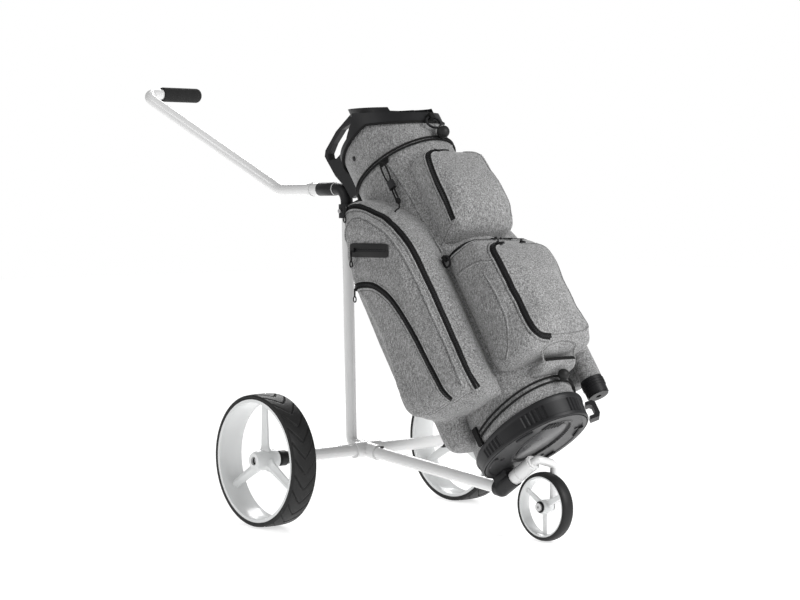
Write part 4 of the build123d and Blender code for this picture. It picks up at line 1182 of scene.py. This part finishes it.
def window(n, y):
    """How far inside the base's long oval window a point is, 1 at its edge."""
    return math.hypot((n - WINDOW_MID) / WINDOW_LONG, y / WINDOW_WIDE)


def base_rise(n, y, edge):
    """Relief of the base's underside in millimetres, outwards from the bag."""
    w = window(n, y)
    rim = 1.6 if edge > 0.93 else 0.0
    if w < 1.0:
        return rim - 2.6
    return rim + 1.4 if w < 1.09 else rim


rows = 44
base_rings = []
for i in range(rows + 1):
    f = 1 - i / rows * 0.985
    ring = []
    for t in turns(ROUND):
        n, y = BASE_MID + 133 * f * math.cos(t), 99 * f * math.sin(t)
        ring.append(bag(n, y, 1.0 - base_rise(n, y, f)))
    base_rings.append(ring)
stack(base, base_rings)
base.add(base_rings[-1], [tuple(range(ROUND))])
stack(base, [[p + S_AXIS * 0.006 for p in base_rings[0]], base_rings[0]])
base.make(sharp=25, instead_of=["base_plate", "base_feet"])
PANE_LONG, PANE_WIDE, PANE_LEVEL = 74.0, 38.0, 3.4
pane = [bag(WINDOW_MID + PANE_LONG * math.cos(t), PANE_WIDE * math.sin(t), PANE_LEVEL) for t in turns(96)]
plate(base_window, pane, -S_AXIS, 0.0012, 0.0008)
base_window.make()

feet = Batch("base_ribs", "moulded_black")
BAR_HALF, BAR_HIGH = 0.0014, 0.0022
FOOT_HALF, FOOT_HIGH = 0.005, 0.0044


def bar(batch, a, b):
    """A low rounded bar between two points."""
    along = (b - a).normalized()
    side = along.cross(-S_AXIS).normalized()
    sweep(batch, [a, b], [side, side], [-S_AXIS, -S_AXIS], low_profile(BAR_HALF, BAR_HIGH))


for k in range(6):
    y = -44 + 7 * k
    bar(feet, bag(214 + 2 * k, y, 0.8), bag(238 + 1.2 * k, y + 4, 0.8))
for side in (1, -1):
    for turn in (52, 128):
        t = math.radians(turn) * side
        t2 = t + 0.36 * side * (1 if turn < 90 else -1)
        angles = [t + (t2 - t) * k / 8 for k in range(9)]
        path = [bag(BASE_MID + 122 * math.cos(a), 88 * math.sin(a), 1.0) for a in angles]
        away = [(p - bag(BASE_MID, 0, 1)).normalized() for p in path]
        sweep(feet, path, away, [-S_AXIS] * len(path), low_profile(FOOT_HALF, FOOT_HIGH, shoulder=0.68))
for n, y in ((92, -58), (206, 62), (92, 58)):
    plate(feet, disc(bag(n, y, 0.9), N_AXIS, Vector((0, 1, 0)), 0.0045, 0.0045, 20), -S_AXIS, 0.002, 0.001)
feet.make(sharp=35)

# ---------------------------------------------------------------- wheels
REAR_MID, REAR_HALF = 0.287, 0.0315
GROOVES, SWEEP, GROOVE_HALF, GROOVE_DEPTH, TREAD_EDGE = 26, 1.15, 0.085, 0.0022, 0.93
AXLE = Vector((AXLE_X, 0, AXLE_Z))


def tread_depth(turn, u):
    """Depth of the sweeping grooves at an angle and a place across, u from -1 to 1."""
    phase = (turn / (2 * math.pi) * GROOVES + SWEEP * abs(u) ** 1.25) % 1.0
    cut = max(0.0, 1 - min(phase, 1 - phase) / GROOVE_HALF)
    return GROOVE_DEPTH * min(1.0, 1.6 * cut) if abs(u) < TREAD_EDGE else 0.0


def rear_tyre(side, name):
    """A tyre with a stepped sidewall and a crown cut by grooves that sweep back to both edges."""
    centre = AXLE + Vector((0, side * REAR_MID, 0))
    around, across = 720, 40
    batch = Batch(f"tread_{name}", "tyre", f"rear_wheel_{name}")
    rings = []
    wall = [(0.1347, -1.0), (0.1372, -1.0), (0.1376, -0.992), (0.1384, -0.992), (0.1388, -1.0),
            (0.1402, -0.998), (0.142, -0.975)]
    crown = [(0.1436 + 0.0014 * (1 - abs(2 * k / across - 1) ** 3), TREAD_EDGE * (2 * k / across - 1))
             for k in range(across + 1)]
    outline = wall + crown + [(r, -u) for r, u in reversed(wall)]
    for number, (radius, u) in enumerate(outline):
        ring = []
        for turn in turns(around):
            r = radius
            if len(wall) <= number < len(wall) + len(crown):
                r -= tread_depth(turn, u)
            ring.append(centre + Vector((math.sin(turn) * r, u * REAR_HALF, math.cos(turn) * r)))
        rings.append(ring)
    stack(batch, rings + [rings[0]])
    batch.make(sharp=50, instead_of=[f"rear_tyre_{name}"])


SPOKE_SECTION = [(-1, 0.15), (-0.78, 0.34), (-0.12, 1), (0.12, 1), (0.78, 0.34), (1, 0.15),
                 (1, -0.4), (0.8, -0.6), (-0.8, -0.6), (-1, -0.4)]


def wheel_rim(centre, side, half, bore, wall, hub, spoke, angles, name, body, node):
    """A white rim: barrel with rolled lips, a waisted hub and three ridged spokes."""
    batch = Batch(name, "wheel_white", body)
    lip = wall + 0.0018
    barrel = [(bore, -half), (bore + lip, -half), (bore + lip, -half + 0.003), (bore + wall, -half + 0.0036),
              (bore + wall, half - 0.0036), (bore + lip, half - 0.003), (bore + lip, half), (bore, half),
              (bore - 0.0006, half - 0.0008), (bore - 0.0012, half * 0.3), (bore - 0.0012, -half * 0.3),
              (bore - 0.0006, -half + 0.0008)]
    lathe(batch, centre, (0, side, 0), (0, 0, 1), barrel, 192)
    lathe(batch, centre, (0, side, 0), (0, 0, 1), hub, 72)
    for angle in angles:
        t = math.radians(angle)
        away = Vector((math.sin(t) * side, 0, math.cos(t)))
        flat = away.cross(Vector((0, side, 0)))
        rings = []
        r0, r1, w0, w1, d0, d1 = spoke
        for k in range(25):
            f = k / 24
            r = r0 + (r1 - r0) * f
            flare = 0.35 * max(0.0, (f - 0.88) / 0.12) ** 2 + 0.4 * max(0.0, (0.12 - f) / 0.12) ** 2
            w = (w0 + (w1 - w0) * f ** 0.8) * (1 + flare)
            d = (d0 + (d1 - d0) * f) * (1 + flare)
            place = centre + away * r
            rings.append([place + flat * (a * w) + Vector((0, side * h * d, 0)) for a, h in SPOKE_SECTION])
        stack(batch, rings, True)
    batch.make(sharp=40, instead_of=[node])


HUB = [(0.0093, -0.0286), (0.0185, -0.0286), (0.0205, -0.0274), (0.0222, -0.018), (0.0232, -0.006),
       (0.0232, 0.004), (0.0222, 0.014), (0.0202, 0.024), (0.0184, 0.0296), (0.0172, 0.0312),
       (0.0093, 0.0314)]
# a spoke: its two radii, its half widths at each end, and its half depths at each end
REAR_SPOKE = (0.019, 0.1292, 0.0125, 0.0085, 0.009, 0.0065)
for side, name in ((1, "left"), (-1, "right")):
    rear_tyre(side, name)
    wheel_rim(AXLE + Vector((0, side * REAR_MID, 0)), side, 0.0305, 0.128, 0.0045, HUB, REAR_SPOKE,
              (0, 120, 240), f"rim_{name}", f"rear_wheel_{name}", f"rear_rim_{name}")

FRONT_LOW, FRONT_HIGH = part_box("front_tyre")
FRONT_C = (FRONT_LOW + FRONT_HIGH) / 2
FRONT_HUB = [(0.0083, -0.014), (0.0128, -0.014), (0.0142, -0.0126), (0.0146, 0.0), (0.0142, 0.0126),
             (0.0128, 0.014), (0.0083, 0.014)]
FRONT_SPOKE = (0.012, 0.0608, 0.0062, 0.0046, 0.0056, 0.004)
wheel_rim(FRONT_C, 1, 0.0132, 0.0598, 0.0032, FRONT_HUB, FRONT_SPOKE, (60, 180, 300),
          "rim_front", "front_wheel", "front_rim")
front_tyre = Batch("tyre_front", "tyre", "front_wheel")
FRONT_SIDE = [(0.0631, -0.014), (0.0665, -0.014), (0.0672, -0.0136), (0.0684, -0.0136), (0.0694, -0.0124),
              (0.0709, -0.0092), (0.0717, -0.0048)]
front_outline = FRONT_SIDE + [(0.072, 0.0)] + [(r, -w) for r, w in reversed(FRONT_SIDE)]
lathe(front_tyre, FRONT_C, (0, 1, 0), (0, 0, 1), front_outline, 160)
front_tyre.make(sharp=40, instead_of=["front_tyre"])

# ---------------------------------------------------------------- frame details
# A black sleeve on the white handle stub: painted dark reflection of the bag's black handle in the glossy
# tube.
stub_reflection = Batch("stub_painted_reflection", "moulded_black")
STUB_Z = 0.737
lathe(stub_reflection, Vector((AXLE_X, 0, STUB_Z)), (1, 0, 0), (0, 0, 1),
      [(0.0151, -0.160), (0.0156, -0.159), (0.0156, -0.104), (0.0151, -0.103)], 48)
stub_reflection.make()
spine = Batch("spine_cover", "moulded_black")
strip_on(spine, shell_skin, guide([(0, 0, 640), (0, 0, 700), (0, 0, 772)]), 0.036, 0.003)
spine.make()


def bend(points, radius):
    """A line with round corners."""
    line = [points[0]]
    for a, p, b in zip(points, points[1:], points[2:]):
        start = p + (a - p).normalized() * radius
        end = p + (b - p).normalized() * radius
        line += [start * (1 - t) ** 2 + p * 2 * t * (1 - t) + end * t * t for t in [k / 8 for k in range(9)]]
    return resample(line + [points[-1]], 0.003)


# A black cover on the bend at the top of the upright: painted dark reflection, as on the stub.
elbow_reflection = Batch("elbow_painted_reflection", "moulded_black")
ELBOW = [Vector((AXLE_X + x, 0, z)) for x, z in ((-0.0624, 0.701), (-0.063, STUB_Z), (-0.103, STUB_Z))]
tube(elbow_reflection, bend(ELBOW, 0.034), 0.0142, 32)
elbow_reflection.make(sharp=40)

# sliders and their cord pulls
loops = Batch("pull_loops", "elastic")
sliders = Batch("zip_sliders", "moulded_black")
PULL_LIFT = 0.004


def slider(on, place, drop, length):
    """A zip slider with a looped cord hanging from it, towards drop."""
    spot, normal = on.snap(bag(*place))
    along = drop.normalized()
    side = normal.cross(along).normalized()
    plate(sliders, disc(spot, along, side, 0.006, 0.0042, 20, 0.7), normal, 0.0044, 0.0022)
    start = spot + normal * PULL_LIFT
    loop_shape = [(0, 0), (0.4, 0.0028), (0.82, 0.0052), (1, 0), (0.82, -0.0052), (0.4, -0.0028)]
    line = [start + along * length * down + side * wide for down, wide in loop_shape]
    tube(loops, [on.snap(p)[0] + normal * PULL_LIFT for p in spline(line, 0.002, True)], 0.0013, 8, True)


DOWN = Vector((0, 0, -1))
slider(upper_skin, (284, -52, 660), Vector((0.2, 0.3, -1)), 0.022)
slider(upper_skin, (284, -36, 661), Vector((0.1, 1, 0.0)), 0.022)
slider(lower_skin, (298, -20, 411), Vector((0.3, -0.6, -1)), 0.026)
slider(lower_skin, (298, 0, 411), Vector((0.3, 0.8, -0.6)), 0.026)
slider(lower_skin, (327, -48, 386), DOWN, 0.03)
slider(lower_skin, (327, 20, 388), DOWN, 0.03)
loops.make()
for place in ((76, -170, 642), (27, -188, 465)):
    spot, normal = right_skin.snap(bag(*place))
    plate(sliders, disc(spot, UP, FORWARD, 0.006, 0.004, 20, 0.7), RIGHT,
          max(0.003, abs(spot.y - place[1] * MM) + 0.002), 0.0015)
sliders.make()
